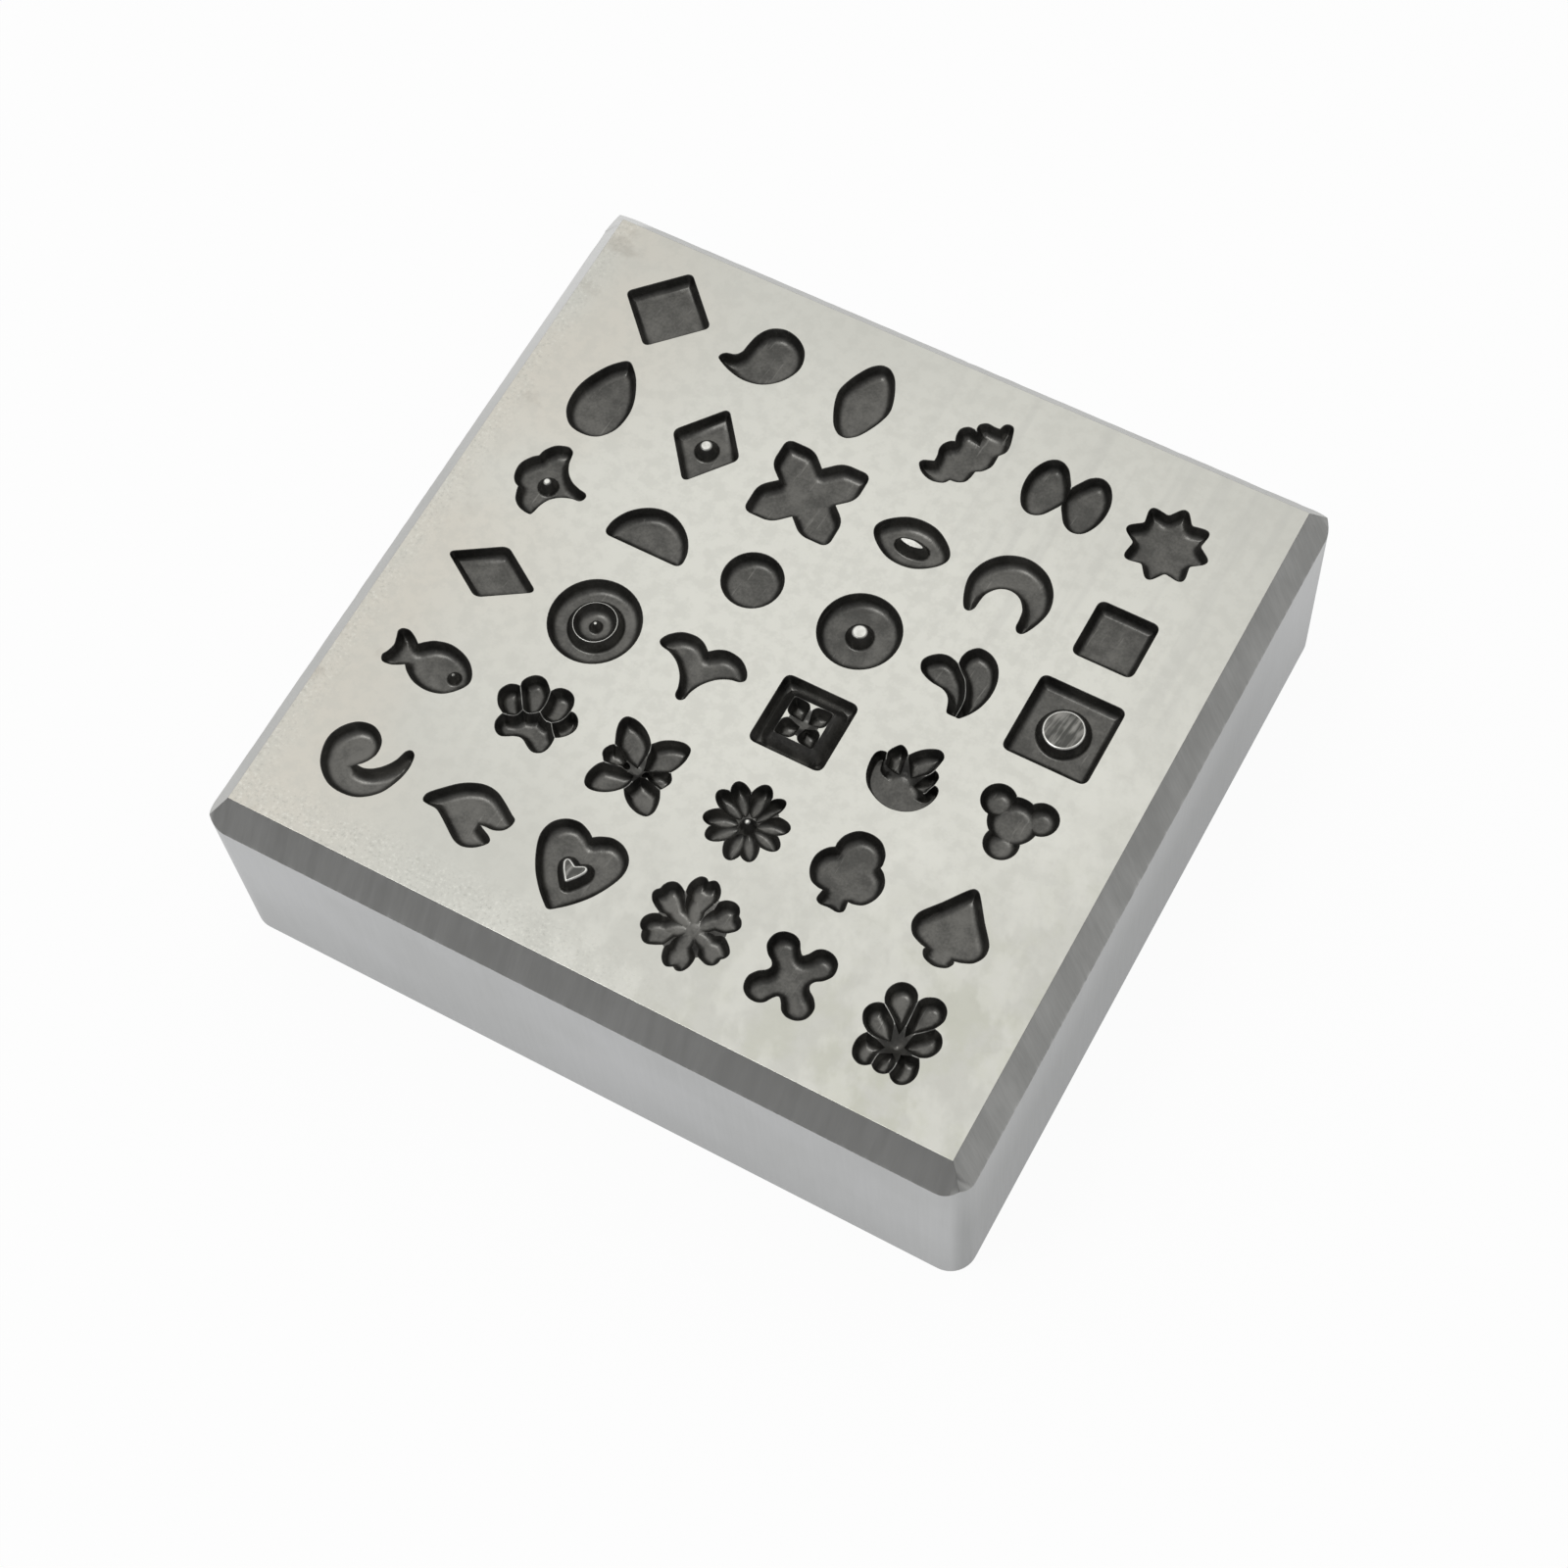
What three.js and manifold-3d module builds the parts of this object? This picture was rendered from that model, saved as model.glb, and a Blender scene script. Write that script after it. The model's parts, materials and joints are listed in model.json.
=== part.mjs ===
// Steel shot plate: one ground block with thirty-six shallow figures sunk in its top face.
// Millimetres, +Z up. The origin is the middle of the face it rests on, and +X runs along the front edge.
import * as THREE from "three";
import { mergeVertices } from "three/addons/utils/BufferGeometryUtils.js";
import Module from "manifold-3d";

const wasm = await Module();
wasm.setup();

// Block
const plateWidth = 63.5;
const plateDepth = 61.7;
const plateHeight = 19.5;
const cornerRadius = 2.1;
const chamferWidth = 1.75;
const frontChamferWidth = 2.0;
const chamferDrop = 2.3;

// Field of figures, in cells as wide and deep as the margins leave
const columns = 6;
const rows = 6;
const sideMargin = 4.95;
const endMargin = 4.5;
const columnPitch = (plateWidth - 2 * sideMargin) / columns;
const rowPitch = (plateDepth - 2 * endMargin) / rows;

// Sunk walls, which lean in to a flat floor, and the steeper sides of the islands left standing on it
const sinkDepth = 1.05;
const wallLeanDegrees = 28;
const floorFillet = 0.42;
const ridgeHalfWidth = 0.045;
const islandLeanDegrees = 28;
const islandFillet = 0.25;

// Figures of straight sides and circles
const cornerSquareReach = 3.82;
const cornerSquareEase = 0.5;
const smallSquareReach = 2.48;
const bossSquareReach = 3.42;
const panelSquareReach = 3.05;
const squareEase = 0.65;
const uprightRhombHalfWidth = 2.94;
const uprightRhombHalfHeight = 3.64;
const lyingRhombHalfWidth = 3.9;
const lyingRhombHalfHeight = 2.46;
const rhombEase = 0.55;
const uprightAlmondHalfWidth = 2.2;
const uprightAlmondHalfHeight = 3.57;
const lyingAlmondHalfWidth = 3.12;
const lyingAlmondHalfHeight = 2.08;
const plainCircleRadius = 2.4;
const pinnedDiscRadius = 3.22;
const targetRadius = 3.6;
const targetRingRadius = 1.7;
const targetRingWidth = 0.1;
const targetRingDrop = 0.15;
const starReach = 3.65;
const crossReach = 3.65;

// Reach of each drawn figure: half of its longer side
const commaReach = 3.1;
const oakLeafReach = 3.6;
const bowReach = 3.45;
const dropReach = 3.75;
const crescentReach = 3.4;
const trumpetReach = 3.3;
const halfMoonReach = 3.4;
const paisleysReach = 3.0;
const tailReach = 3.7;
const wingLeafReach = 2.9;
const trefoilReach = 3.3;
const fishReach = 3.65;
const pawReach = 3.4;
const butterflyReach = 3.3;
const daisyReach = 3.25;
const clubReach = 3.3;
const spadeReach = 3.35;
const hookReach = 3.4;
const notchedLeafReach = 3.55;
const heartReach = 3.6;
const cosmosReach = 3.75;
const boneCrossReach = 2.9;
const sevenPetalsReach = 3.5;

// Islands left standing in the figures, by the radius of their tops
const bossRadius = 1.58;
const bossDrop = 0.12;
const eyeHalfWidth = 0.92;
const eyeHalfHeight = 0.32;
const pinDrop = 0.06;
const discPinRadius = 0.58;
const rhombPinRadius = 0.45;
const trumpetPinRadius = 0.3;
const daisyPinRadius = 0.2;
const fishEyeRadius = 0.12;
const fishEyeDrop = 0.25;
const pipRadius = 0.08;
const pipDrop = 0.3;

// Fineness: how far a facet may stray from its curve, and how far a cutting shape stands proud
const chordSag = 0.04;
const fewestSides = 10;
const tracingSteps = 12;
const overrun = 0.6;
const mergeDistance = 0.00001;

const wallLean = THREE.MathUtils.degToRad(wallLeanDegrees);
const islandLean = THREE.MathUtils.degToRad(islandLeanDegrees);

// Tracing of edges

// The point that lies a share t along the smooth curve from b to c, which a and d steer.
function splinePoint(a, b, c, d, t) {
  const term = (p, q, r, s) =>
    0.5 * (2 * q + (r - p) * t + (2 * p - 5 * q + 4 * r - s) * t * t + (3 * q - p - 3 * r + s) * t * t * t);
  return new THREE.Vector2(term(a.x, b.x, c.x, d.x), term(a.y, b.y, c.y, d.y));
}

// A run of points shortened by a length at its start.
function trimmedStart(run, length) {
  let left = length;
  for (let i = 1; i < run.length; i++) {
    const step = run[i].distanceTo(run[i - 1]);
    if (step > left) return [run[i - 1].clone().lerp(run[i], left / step), ...run.slice(i)];
    left -= step;
  }
  return [run[run.length - 1]];
}

// An edge from points in shares of a reach, listed anticlockwise. Two numbers make a point on a smooth
// curve. Three numbers make a corner, and the third says how far its rounding cuts back, as a share too.
function tracedEdge(shares, reach) {
  const knots = shares.map(([x, y]) => new THREE.Vector2(x * reach, y * reach));
  const isCorner = (i) => shares[i].length === 3;
  const count = knots.length;
  const runs = knots.map((knot, i) => {
    const next = (i + 1) % count;
    if (isCorner(i) && isCorner(next)) return [knot, knots[next]];
    const before = isCorner(i) ? knot : knots[(i + count - 1) % count];
    const after = isCorner(next) ? knots[next] : knots[(i + 2) % count];
    return Array.from({ length: tracingSteps + 1 }, (_, k) =>
      splinePoint(before, knot, knots[next], after, k / tracingSteps));
  });
  const edge = [];
  runs.forEach((run, i) => {
    const next = (i + 1) % count;
    const cutBack = (k) => (isCorner(k) ? shares[k][2] * reach : 0);
    let kept = trimmedStart(run, cutBack(i));
    kept = trimmedStart(kept.reverse(), cutBack(next)).reverse();
    edge.push(...kept);
    if (cutBack(next) > 0) {
      const onward = trimmedStart(runs[next], cutBack(next))[0];
      const round = new THREE.QuadraticBezierCurve(kept[kept.length - 1], knots[next], onward);
      edge.push(...round.getPoints(tracingSteps));
    }
  });
  return thinned(edge);
}

// An edge with only the points that keep every facet within the chord sag of the curve.
function thinned(edge) {
  const keep = new Set();
  const visit = (from, to) => {
    const line = new THREE.Line3(toSpace(edge[from]), toSpace(edge[to % edge.length]));
    const nearest = new THREE.Vector3();
    let worst = chordSag;
    let split = 0;
    for (let i = from + 1; i < to; i++) {
      const point = toSpace(edge[i]);
      const stray = line.closestPointToPoint(point, true, nearest).distanceTo(point);
      if (stray > worst) [worst, split] = [stray, i];
    }
    if (!split) return;
    keep.add(split);
    visit(from, split);
    visit(split, to);
  };
  const away = edge.map((point) => point.distanceTo(edge[0]));
  const farthest = away.indexOf(Math.max(...away));
  keep.add(0).add(farthest);
  visit(0, farthest);
  visit(farthest, edge.length);
  return [...keep].sort((a, b) => a - b).map((i) => edge[i]);
}

function toSpace(point) {
  return new THREE.Vector3(point.x, point.y, 0);
}

function mirrored(shares) {
  return shares.map(([x, ...rest]) => [-x, ...rest]).reverse();
}

// The right half of an edge, listed upwards, joined by its mirror image.
function bothSides(half) {
  return [...half, ...mirrored(half.filter(([x]) => x !== 0))];
}

// One quarter of an edge, from the right to the top, turned into all four.
function fourQuarters(quarter) {
  const upper = bothSides(quarter);
  const lower = upper.filter(([, y]) => y !== 0).map(([x, y, ...rest]) => [x, -y, ...rest]);
  const start = upper.length - 1;
  return [...upper, ...lower.reverse()].slice(0, start + lower.length + 1);
}

// An oval by its centre, half length, half width and the turn of its long side in degrees, all but the
// turn in shares of a reach. Swell widens the end that the long side points to and slims the other.
function ovalEdge([x, y, long, wide, turn = 0, swell = 0], reach) {
  const rounds = Math.max(fewestSides, Math.PI / Math.acos(1 - chordSag / (wide * reach)));
  const steps = Math.ceil(rounds * Math.sqrt(long / wide));
  const middle = new THREE.Vector2();
  return Array.from({ length: steps }, (_, i) => {
    const angle = (2 * Math.PI * i) / steps;
    const width = wide * Math.sin(angle) * (1 + swell * Math.cos(angle));
    const point = new THREE.Vector2(long * Math.cos(angle), width);
    point.rotateAround(middle, THREE.MathUtils.degToRad(turn));
    return new THREE.Vector2((x + point.x) * reach, (y + point.y) * reach);
  });
}

function circleEdge(radius, at = [0, 0]) {
  return ovalEdge([0, 0, 1, 1], radius).map((point) => point.add(new THREE.Vector2(...at)));
}

// A four-cornered edge with its corners cut back and rounded.
function cornersEdge(corners, ease) {
  const reach = Math.max(...corners.flat().map(Math.abs));
  return tracedEdge(corners.map(([x, y]) => [x / reach, y / reach, ease / reach]), reach);
}

function squareEdge(half, ease) {
  return cornersEdge([[half, -half], [half, half], [-half, half], [-half, -half]], ease);
}

function rhombEdge(halfWidth, halfHeight, ease) {
  return cornersEdge([[halfWidth, 0], [0, halfHeight], [-halfWidth, 0], [0, -halfHeight]], ease);
}

// An upright almond: two round sides that meet in eased points.
function almondEdge(halfWidth, halfHeight) {
  const quarter = almondShares.map(([x, y, ...rest]) => [x * halfWidth, y * halfHeight, ...rest]);
  return tracedEdge(fourQuarters(quarter), 1);
}

function quarterTurned(edge) {
  return edge.map((point) => new THREE.Vector2(-point.y, point.x));
}

// The cells of a figure that ridges part. Its lines run between corners that have a letter each, and a
// cell is named by the letters round it, anticlockwise. A cell keeps half a ridge clear of its lines.
function cellEdges(corners, lines, cells, reach) {
  return cells.map((round) => {
    const shares = [...round].flatMap((from, i) => {
      const to = round[(i + 1) % round.length];
      const between = lines[from + to] ?? (lines[to + from] ?? []).toReversed();
      return [[...corners[from], cellCornerEaseShare], ...between];
    });
    const edge = insetEdge(tracedEdge(shares, reach), ridgeHalfWidth);
    return edge.filter((point, i) => point !== edge.at(i - 1));
  });
}

// Sides moved inwards by one distance. A side that shrinks to nothing closes up at the corner where its
// neighbours meet, so the list keeps its length. Null when the whole shape closes up.
function insetEdge(edge, inset) {
  const count = edge.length;
  const sides = edge.map((start, i) => {
    const along = edge[(i + 1) % count].clone().sub(start).normalize();
    const inward = new THREE.Vector2(-along.y, along.x);
    return { origin: start.clone().addScaledVector(inward, inset), along };
  });
  const meeting = (a, b) => {
    const turn = a.along.cross(b.along);
    const across = b.origin.clone().sub(a.origin);
    return a.origin.clone().addScaledVector(a.along, across.cross(b.along) / turn);
  };
  const live = sides.map((_, i) => i);
  for (;;) {
    if (live.length < 3) return null;
    const corners = live.map((side, k) => meeting(sides[live.at(k - 1)], sides[side]));
    const lengths = live.map((side, k) =>
      corners[(k + 1) % live.length].clone().sub(corners[k]).dot(sides[side].along));
    const shortest = Math.min(...lengths);
    if (shortest > 0) {
      let k = 0;
      return edge.map((_, i) => {
        while (k < live.length && live[k] < i) k++;
        return corners[k % live.length];
      });
    }
    live.splice(lengths.indexOf(shortest), 1);
  }
}

// Whether an inset still goes round a floor the right way, in one piece.
function isSound(edge) {
  return edge !== null && THREE.ShapeUtils.area(edge) > 0 && !crossesItself(edge);
}

// Whether two sides of an edge cross or touch, as they do where an inset splits a shape at its neck.
function crossesItself(edge) {
  const side = (a, b, c) => b.clone().sub(a).cross(c.clone().sub(a));
  const apart = (a, b, c, d) => side(a, b, c) * side(a, b, d);
  return edge.some((a, i) => {
    const b = edge[(i + 1) % edge.length];
    return edge.slice(i + 2).some((c, k) => {
      const d = edge[(i + k + 3) % edge.length];
      if (a === b || c === d || a === d || b === c) return false;
      const [less, more] = [apart(a, b, c, d), apart(c, d, a, b)].sort((p, q) => p - q);
      return less < -mergeDistance && more < mergeDistance;
    });
  });
}

// Solids

// How far a side leans out at each depth below its top: straight at first, then round onto the floor.
function leanProfile(lean, fillet, depth) {
  const straight = depth - fillet * (1 - Math.sin(lean));
  const out = straight * Math.tan(lean);
  return [[out, straight], [out + fillet * Math.cos(lean), depth]];
}

// A closed solid through rings of equal count, listed from the top down.
function loft(rings) {
  const count = rings[0].edge.length;
  const positions = rings.flatMap(({ edge, z }) => edge.flatMap((point) => [point.x, point.y, z]));
  const index = [];
  for (let k = 0; k + 1 < rings.length; k++) {
    for (let i = 0; i < count; i++) {
      const [a, b] = [k * count + i, k * count + ((i + 1) % count)];
      index.push(a, a + count, b, b, a + count, b + count);
    }
  }
  const cap = (k, flip) => {
    const distinct = rings[k].edge.map((point, i) => i).filter((i) =>
      rings[k].edge[i] !== rings[k].edge[(i + count - 1) % count]);
    const outline = distinct.map((i) => rings[k].edge[i]);
    for (const face of THREE.ShapeUtils.triangulateShape(outline, [])) {
      const [a, b, c] = face.map((i) => k * count + distinct[i]);
      index.push(...(flip ? [a, c, b] : [a, b, c]));
    }
  };
  cap(0, false);
  cap(rings.length - 1, true);
  const geometry = new THREE.BufferGeometry();
  geometry.setAttribute("position", new THREE.Float32BufferAttribute(positions, 3));
  geometry.setIndex(index);
  return solidFrom(geometry);
}

function solidFrom(geometry) {
  geometry.deleteAttribute("normal");
  geometry.deleteAttribute("uv");
  const merged = mergeVertices(geometry, mergeDistance);
  const corners = merged.index.array;
  const faces = [];
  for (let i = 0; i < corners.length; i += 3) {
    const [a, b, c] = corners.slice(i, i + 3);
    if (a !== b && b !== c && c !== a) faces.push(a, b, c);
  }
  return new wasm.Manifold(new wasm.Mesh({
    numProp: 3,
    vertProperties: merged.attributes.position.array,
    triVerts: new Uint32Array(faces),
  }));
}

// The shape that sinks one edge into the top face. Where the edge is too narrow for the full lean, its
// walls stand steeper, as far as its floor leaves room.
function sinking(edge) {
  const profile = leanProfile(wallLean, floorFillet, sinkDepth);
  const mouth = { edge: insetEdge(edge, -overrun * Math.tan(wallLean)), z: plateHeight + overrun };
  for (let leanShare = 1; leanShare > 0; leanShare -= leanStepShare) {
    const rings = profile.map(([inset, depth]) => ({
      edge: insetEdge(edge, inset * leanShare),
      z: plateHeight - depth,
    }));
    if (rings.every((ring) => isSound(ring.edge))) return loft([mouth, { edge, z: plateHeight }, ...rings]);
  }
  throw new Error("a figure is too narrow to sink");
}

// The shape that stays standing in a sinking, from its edge at the top to its wider foot. Its top is
// level with the plate, or lower by a drop.
function island(edge, drop = 0) {
  const top = plateHeight - drop;
  const sides = leanProfile(islandLean, islandFillet, sinkDepth - drop).map(([spread, depth]) => ({
    edge: insetEdge(edge, -spread),
    z: top - depth,
  }));
  const root = { edge: sides[sides.length - 1].edge, z: plateHeight - sinkDepth - overrun };
  const head = drop > 0 ? [] : [{ edge, z: top + overrun }];
  return loft([...head, { edge, z: top }, ...sides, root]);
}

// A round dish with straight slopes, by the shares of its middle, of its mouth and of its floor.
function dish([x, y, mouth, floor], reach) {
  const slope = (mouth - floor) / sinkDepth;
  const turns = circleEdge(1);
  return loft([-overrun, sinkDepth].map((depth) => ({
    edge: turns.map((point) => {
      const radius = (mouth - slope * depth) * reach;
      return new THREE.Vector2(x * reach + point.x * radius, y * reach + point.y * radius);
    }),
    z: plateHeight - depth,
  })));
}

// Share tables, chosen by eye from the figures

const leanStepShare = 0.06;
const almondShares = [[1, 0], [0.93, 0.24], [0.76, 0.52], [0.5, 0.81], [0.22, 0.965], [0, 1]];
const cellCornerEaseShare = 0.025;
const starPoints = 8;
const starValleyShare = 0.68;
const starTipEaseShare = 0.22;
const starValleyEaseShare = 0.06;
const crossShares = [[0.66, 0, 0.02], [1, 0.3, 0.2], [1, 0.97, 0.2], [0.35, 0.97, 0.2], [0, 0.64, 0.02]];
const commaShares = [
  [-0.96, -0.6], [-0.55, -0.79], [-0.1, -0.87], [0.35, -0.78], [0.72, -0.5], [0.94, -0.12], [0.97, 0.22],
  [0.82, 0.58], [0.5, 0.83], [0.1, 0.91], [-0.25, 0.76], [-0.45, 0.45], [-0.52, 0.1], [-0.55, -0.14],
  [-0.67, -0.3], [-0.9, -0.37], [-1, -0.48],
];
const oakLeafShares = [
  [-0.76, -0.74], [-0.6, -0.91], [-0.35, -0.99], [-0.1, -0.93], [0, -0.8, 0.02], [0.15, -0.785],
  [0.3, -0.7], [0.36, -0.55], [0.38, -0.38, 0.02], [0.52, -0.29], [0.63, -0.12], [0.645, 0.05],
  [0.64, 0.19, 0.02], [0.74, 0.33], [0.75, 0.5], [0.69, 0.75], [0.62, 0.94], [0.52, 0.985],
  [0.42, 0.93], [0.375, 0.79, 0.02], [0.25, 0.79], [0.08, 0.8], [-0.05, 0.71], [-0.07, 0.6],
  [-0.03, 0.52, 0.01], [-0.12, 0.545], [-0.25, 0.535], [-0.37, 0.42], [-0.38, 0.25], [-0.33, 0.09, 0.01],
  [-0.43, 0.05], [-0.53, -0.08], [-0.55, -0.22], [-0.51, -0.38], [-0.5, -0.54, 0.01], [-0.62, -0.585],
  [-0.73, -0.64],
];
const bowLoopShares = [
  [-0.07, -0.02], [0, -0.24], [0.1, -0.42], [0.28, -0.67], [0.52, -0.77], [0.76, -0.67], [0.93, -0.36],
  [0.985, 0], [0.93, 0.34], [0.76, 0.63], [0.52, 0.745], [0.28, 0.64], [0.11, 0.4], [0, 0.2],
];
const dropShares = [
  [0, -0.985], [0.34, -0.9], [0.58, -0.6], [0.645, -0.2], [0.58, 0.18], [0.38, 0.6], [0.17, 0.86],
  [0, 0.97],
];
const crescentShares = [
  [0, 0.15], [0.26, 0.07], [0.45, -0.16], [0.5, -0.4], [0.515, -0.6], [0.6, -0.71], [0.72, -0.685],
  [0.84, -0.48], [0.95, -0.15], [0.97, 0.15], [0.86, 0.5], [0.62, 0.8], [0.32, 0.97], [0, 1.03],
];
const trumpetShares = [
  [0.93, -0.03], [0.88, 0.07], [0.7, 0.11], [0.45, 0.2], [0.25, 0.37], [0.12, 0.6], [0.06, 0.87],
  [-0.02, 0.96], [-0.15, 0.985], [-0.4, 0.88], [-0.57, 0.66], [-0.61, 0.48, 0.01], [-0.74, 0.37],
  [-0.87, 0.16], [-0.9, -0.02], [-0.85, -0.25], [-0.73, -0.4], [-0.62, -0.45, 0.01], [-0.58, -0.6],
  [-0.48, -0.8], [-0.28, -0.94], [-0.02, -0.98], [0.045, -0.9], [0.09, -0.68], [0.2, -0.45],
  [0.4, -0.28], [0.65, -0.18], [0.86, -0.15],
];
const trumpetPinShares = [-0.1, -0.03];
const halfMoonShares = [
  [0.985, -0.56, 0.18], [0.955, -0.2], [0.8, 0.12], [0.56, 0.36], [0.28, 0.51], [0, 0.56],
];
const paisleyCornerShares = { a: [-0.127, 0.36], b: [0.487, -1], o: [0.367, -0.2] };
const paisleyLineShares = {
  ab: [
    [-0.267, 0.417], [-0.45, 0.45], [-0.65, 0.4], [-0.833, 0.267], [-0.95, 0.1], [-0.96, -0.05],
    [-0.867, -0.223], [-0.7, -0.333], [-0.467, -0.41], [-0.2, -0.44], [-0.033, -0.507], [0.09, -0.627],
    [0.167, -0.8], [0.217, -0.95], [0.283, -1],
  ],
  ba: [
    [0.583, -0.993], [0.673, -0.9], [0.807, -0.717], [0.923, -0.467], [0.993, -0.167], [1, 0.133],
    [0.94, 0.433], [0.807, 0.7], [0.633, 0.873], [0.433, 0.973], [0.2, 1], [0.05, 0.933],
    [-0.083, 0.777], [-0.143, 0.6], [-0.143, 0.467],
  ],
  ao: [[0.04, 0.2], [0.227, 0.033]],
  ob: [[0.46, -0.433], [0.49, -0.7]],
};
const paisleyCells = ["abo", "bao"];
const tailShares = [
  [0, -0.71], [0.1, -0.64], [0.135, -0.45], [0.25, -0.2], [0.45, 0.02], [0.68, 0.15], [0.9, 0.2],
  [0.985, 0.3], [0.9, 0.48], [0.68, 0.65], [0.4, 0.7], [0.18, 0.64], [0, 0.5, 0.01],
];
const panelHalfShare = 0.5;
const panelEaseShare = 0.04;
const panelPetalTurns = [45, 135, 225, 315];
const panelPetalShares = [
  [0, 0.03], [0.115, 0.14], [0.216, 0.246], [0.249, 0.328], [0.236, 0.43], [0.131, 0.541], [0, 0.656],
];
const wingLeafCornerShares = {
  a: [-0.679, 0.345], b: [0.807, 0.069], c: [0.631, 0.455], d: [-0.169, 0.514], o: [0.069, -0.15],
};
const wingLeafLineShares = {
  ab: [
    [-0.741, 0.341], [-0.855, 0.303], [-0.938, 0.19], [-0.959, 0], [-0.924, -0.259], [-0.845, -0.49],
    [-0.69, -0.707], [-0.483, -0.855], [-0.241, -0.966], [0, -1.017], [0.207, -1.01], [0.448, -0.948],
    [0.672, -0.82], [0.845, -0.638], [0.959, -0.431], [1.007, -0.207], [0.983, -0.034], [0.903, 0.052],
  ],
  bc: [[0.821, 0.172], [0.817, 0.3], [0.741, 0.403]],
  cd: [
    [0.672, 0.69], [0.679, 0.845], [0.61, 0.955], [0.483, 1.007], [0.31, 0.959], [0.103, 0.834],
    [-0.052, 0.679],
  ],
  da: [[-0.234, 0.603], [-0.345, 0.679], [-0.448, 0.697], [-0.524, 0.638], [-0.628, 0.49]],
  ao: [[-0.621, 0.172], [-0.517, -0.034]],
  bo: [[0.741, -0.103], [0.638, -0.259]],
  co: [[0.552, 0.276], [0.397, 0.121]],
  do: [[-0.121, 0.345], [-0.062, 0.172]],
};
const wingLeafCells = ["abo", "bco", "cdo", "dao"];
const wingLeafBodyShares = [-0.034, -0.379, 0.724, 0.5];
const trefoilShares = { distance: 0.6, radius: 0.4, body: 0.58 };
const fishShares = [
  [0.985, 0], [0.87, 0.26], [0.6, 0.47], [0.22, 0.565], [-0.12, 0.5], [-0.32, 0.37], [-0.43, 0.265, 0.02],
  [-0.56, 0.365], [-0.74, 0.455], [-0.89, 0.44], [-0.955, 0.35], [-0.905, 0.2], [-0.86, 0.03],
  [-0.9, -0.15], [-0.955, -0.28], [-0.88, -0.395], [-0.7, -0.39], [-0.54, -0.32], [-0.42, -0.245, 0.02],
  [-0.28, -0.385], [-0.03, -0.52], [0.3, -0.56], [0.62, -0.475], [0.87, -0.25],
];
const fishEyeShares = [0.56, 0.02];
const pawCornerShares = {
  a: [-0.629, 0.429], b: [0.035, 0.618], c: [0.679, 0.391], d: [0.703, -0.329],
  e: [-0.632, -0.329], f: [-0.274, -0.05], g: [0.082, 0.076], h: [0.441, -0.044],
};
const pawLineShares = {
  ae: [
    [-0.735, 0.418], [-0.868, 0.353], [-0.956, 0.22], [-0.976, 0.074], [-0.912, -0.088], [-0.794, -0.23],
  ],
  ba: [
    [-0.074, 0.726], [-0.191, 0.812], [-0.324, 0.844], [-0.47, 0.8], [-0.588, 0.685], [-0.647, 0.55],
  ],
  cb: [[0.668, 0.544], [0.597, 0.7], [0.485, 0.788], [0.353, 0.818], [0.206, 0.794], [0.103, 0.72]],
  dc: [
    [0.809, -0.265], [0.926, -0.147], [1, 0], [1.006, 0.132], [0.941, 0.28], [0.838, 0.373], [0.75, 0.403],
  ],
  ed: [
    [-0.668, -0.47], [-0.662, -0.603], [-0.588, -0.735], [-0.485, -0.812], [-0.368, -0.832],
    [-0.235, -0.774], [-0.118, -0.706], [0.015, -0.668], [0.132, -0.697], [0.265, -0.78], [0.397, -0.841],
    [0.515, -0.838], [0.638, -0.765], [0.706, -0.632], [0.72, -0.47],
  ],
  af: [[-0.47, 0.215], [-0.353, 0.05]],
  bg: [[0.085, 0.412], [0.1, 0.235]],
  ch: [[0.644, 0.2], [0.572, 0.062]],
  ef: [[-0.47, -0.303], [-0.329, -0.226]],
  fg: [[-0.147, -0.076], [-0.029, -0.024]],
  gh: [[0.212, -0.015], [0.324, -0.053]],
  hd: [[0.568, -0.2]],
};
const pawCells = ["aef", "bafg", "cbgh", "dch", "edhgf"];
const butterflyCornerShares = {
  a: [0.039, 0.621], b: [-0.691, 0.248], c: [-0.691, -0.248], d: [0.039, -0.621],
  e: [0.788, -0.279], f: [0.788, 0.206], o: [0.097, -0.097],
};
const butterflyLineShares = {
  ab: [
    [-0.091, 0.764], [-0.273, 0.894], [-0.455, 0.97], [-0.636, 1], [-0.788, 0.97], [-0.864, 0.864],
    [-0.867, 0.697], [-0.803, 0.485],
  ],
  bc: [[-0.788, 0.152], [-0.827, 0.015], [-0.788, -0.127]],
  cd: [
    [-0.788, -0.364], [-0.855, -0.545], [-0.87, -0.727], [-0.809, -0.9], [-0.667, -0.982], [-0.485, -0.97],
    [-0.288, -0.897], [-0.106, -0.773],
  ],
  de: [
    [0.167, -0.788], [0.333, -0.915], [0.515, -0.991], [0.697, -1.015], [0.848, -0.976], [0.93, -0.848],
    [0.939, -0.697], [0.894, -0.485],
  ],
  ef: [[0.864, -0.152], [0.888, -0.03], [0.864, 0.097]],
  fa: [
    [0.87, 0.364], [0.93, 0.576], [0.933, 0.788], [0.879, 0.924], [0.727, 0.982], [0.545, 0.96],
    [0.364, 0.894], [0.197, 0.788],
  ],
  ao: [[0.1, 0.424], [0.115, 0.182]],
  bo: [[-0.515, 0.152], [-0.333, 0.036], [-0.152, -0.036]],
  co: [[-0.515, -0.218], [-0.333, -0.182], [-0.152, -0.152]],
  do: [[0.103, -0.485], [0.121, -0.303]],
  eo: [[0.621, -0.227], [0.455, -0.182], [0.273, -0.145]],
  fo: [[0.621, 0.112], [0.455, 0.024], [0.273, -0.036]],
};
const butterflyCells = ["abo", "bco", "cdo", "deo", "efo", "fao"];
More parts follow.
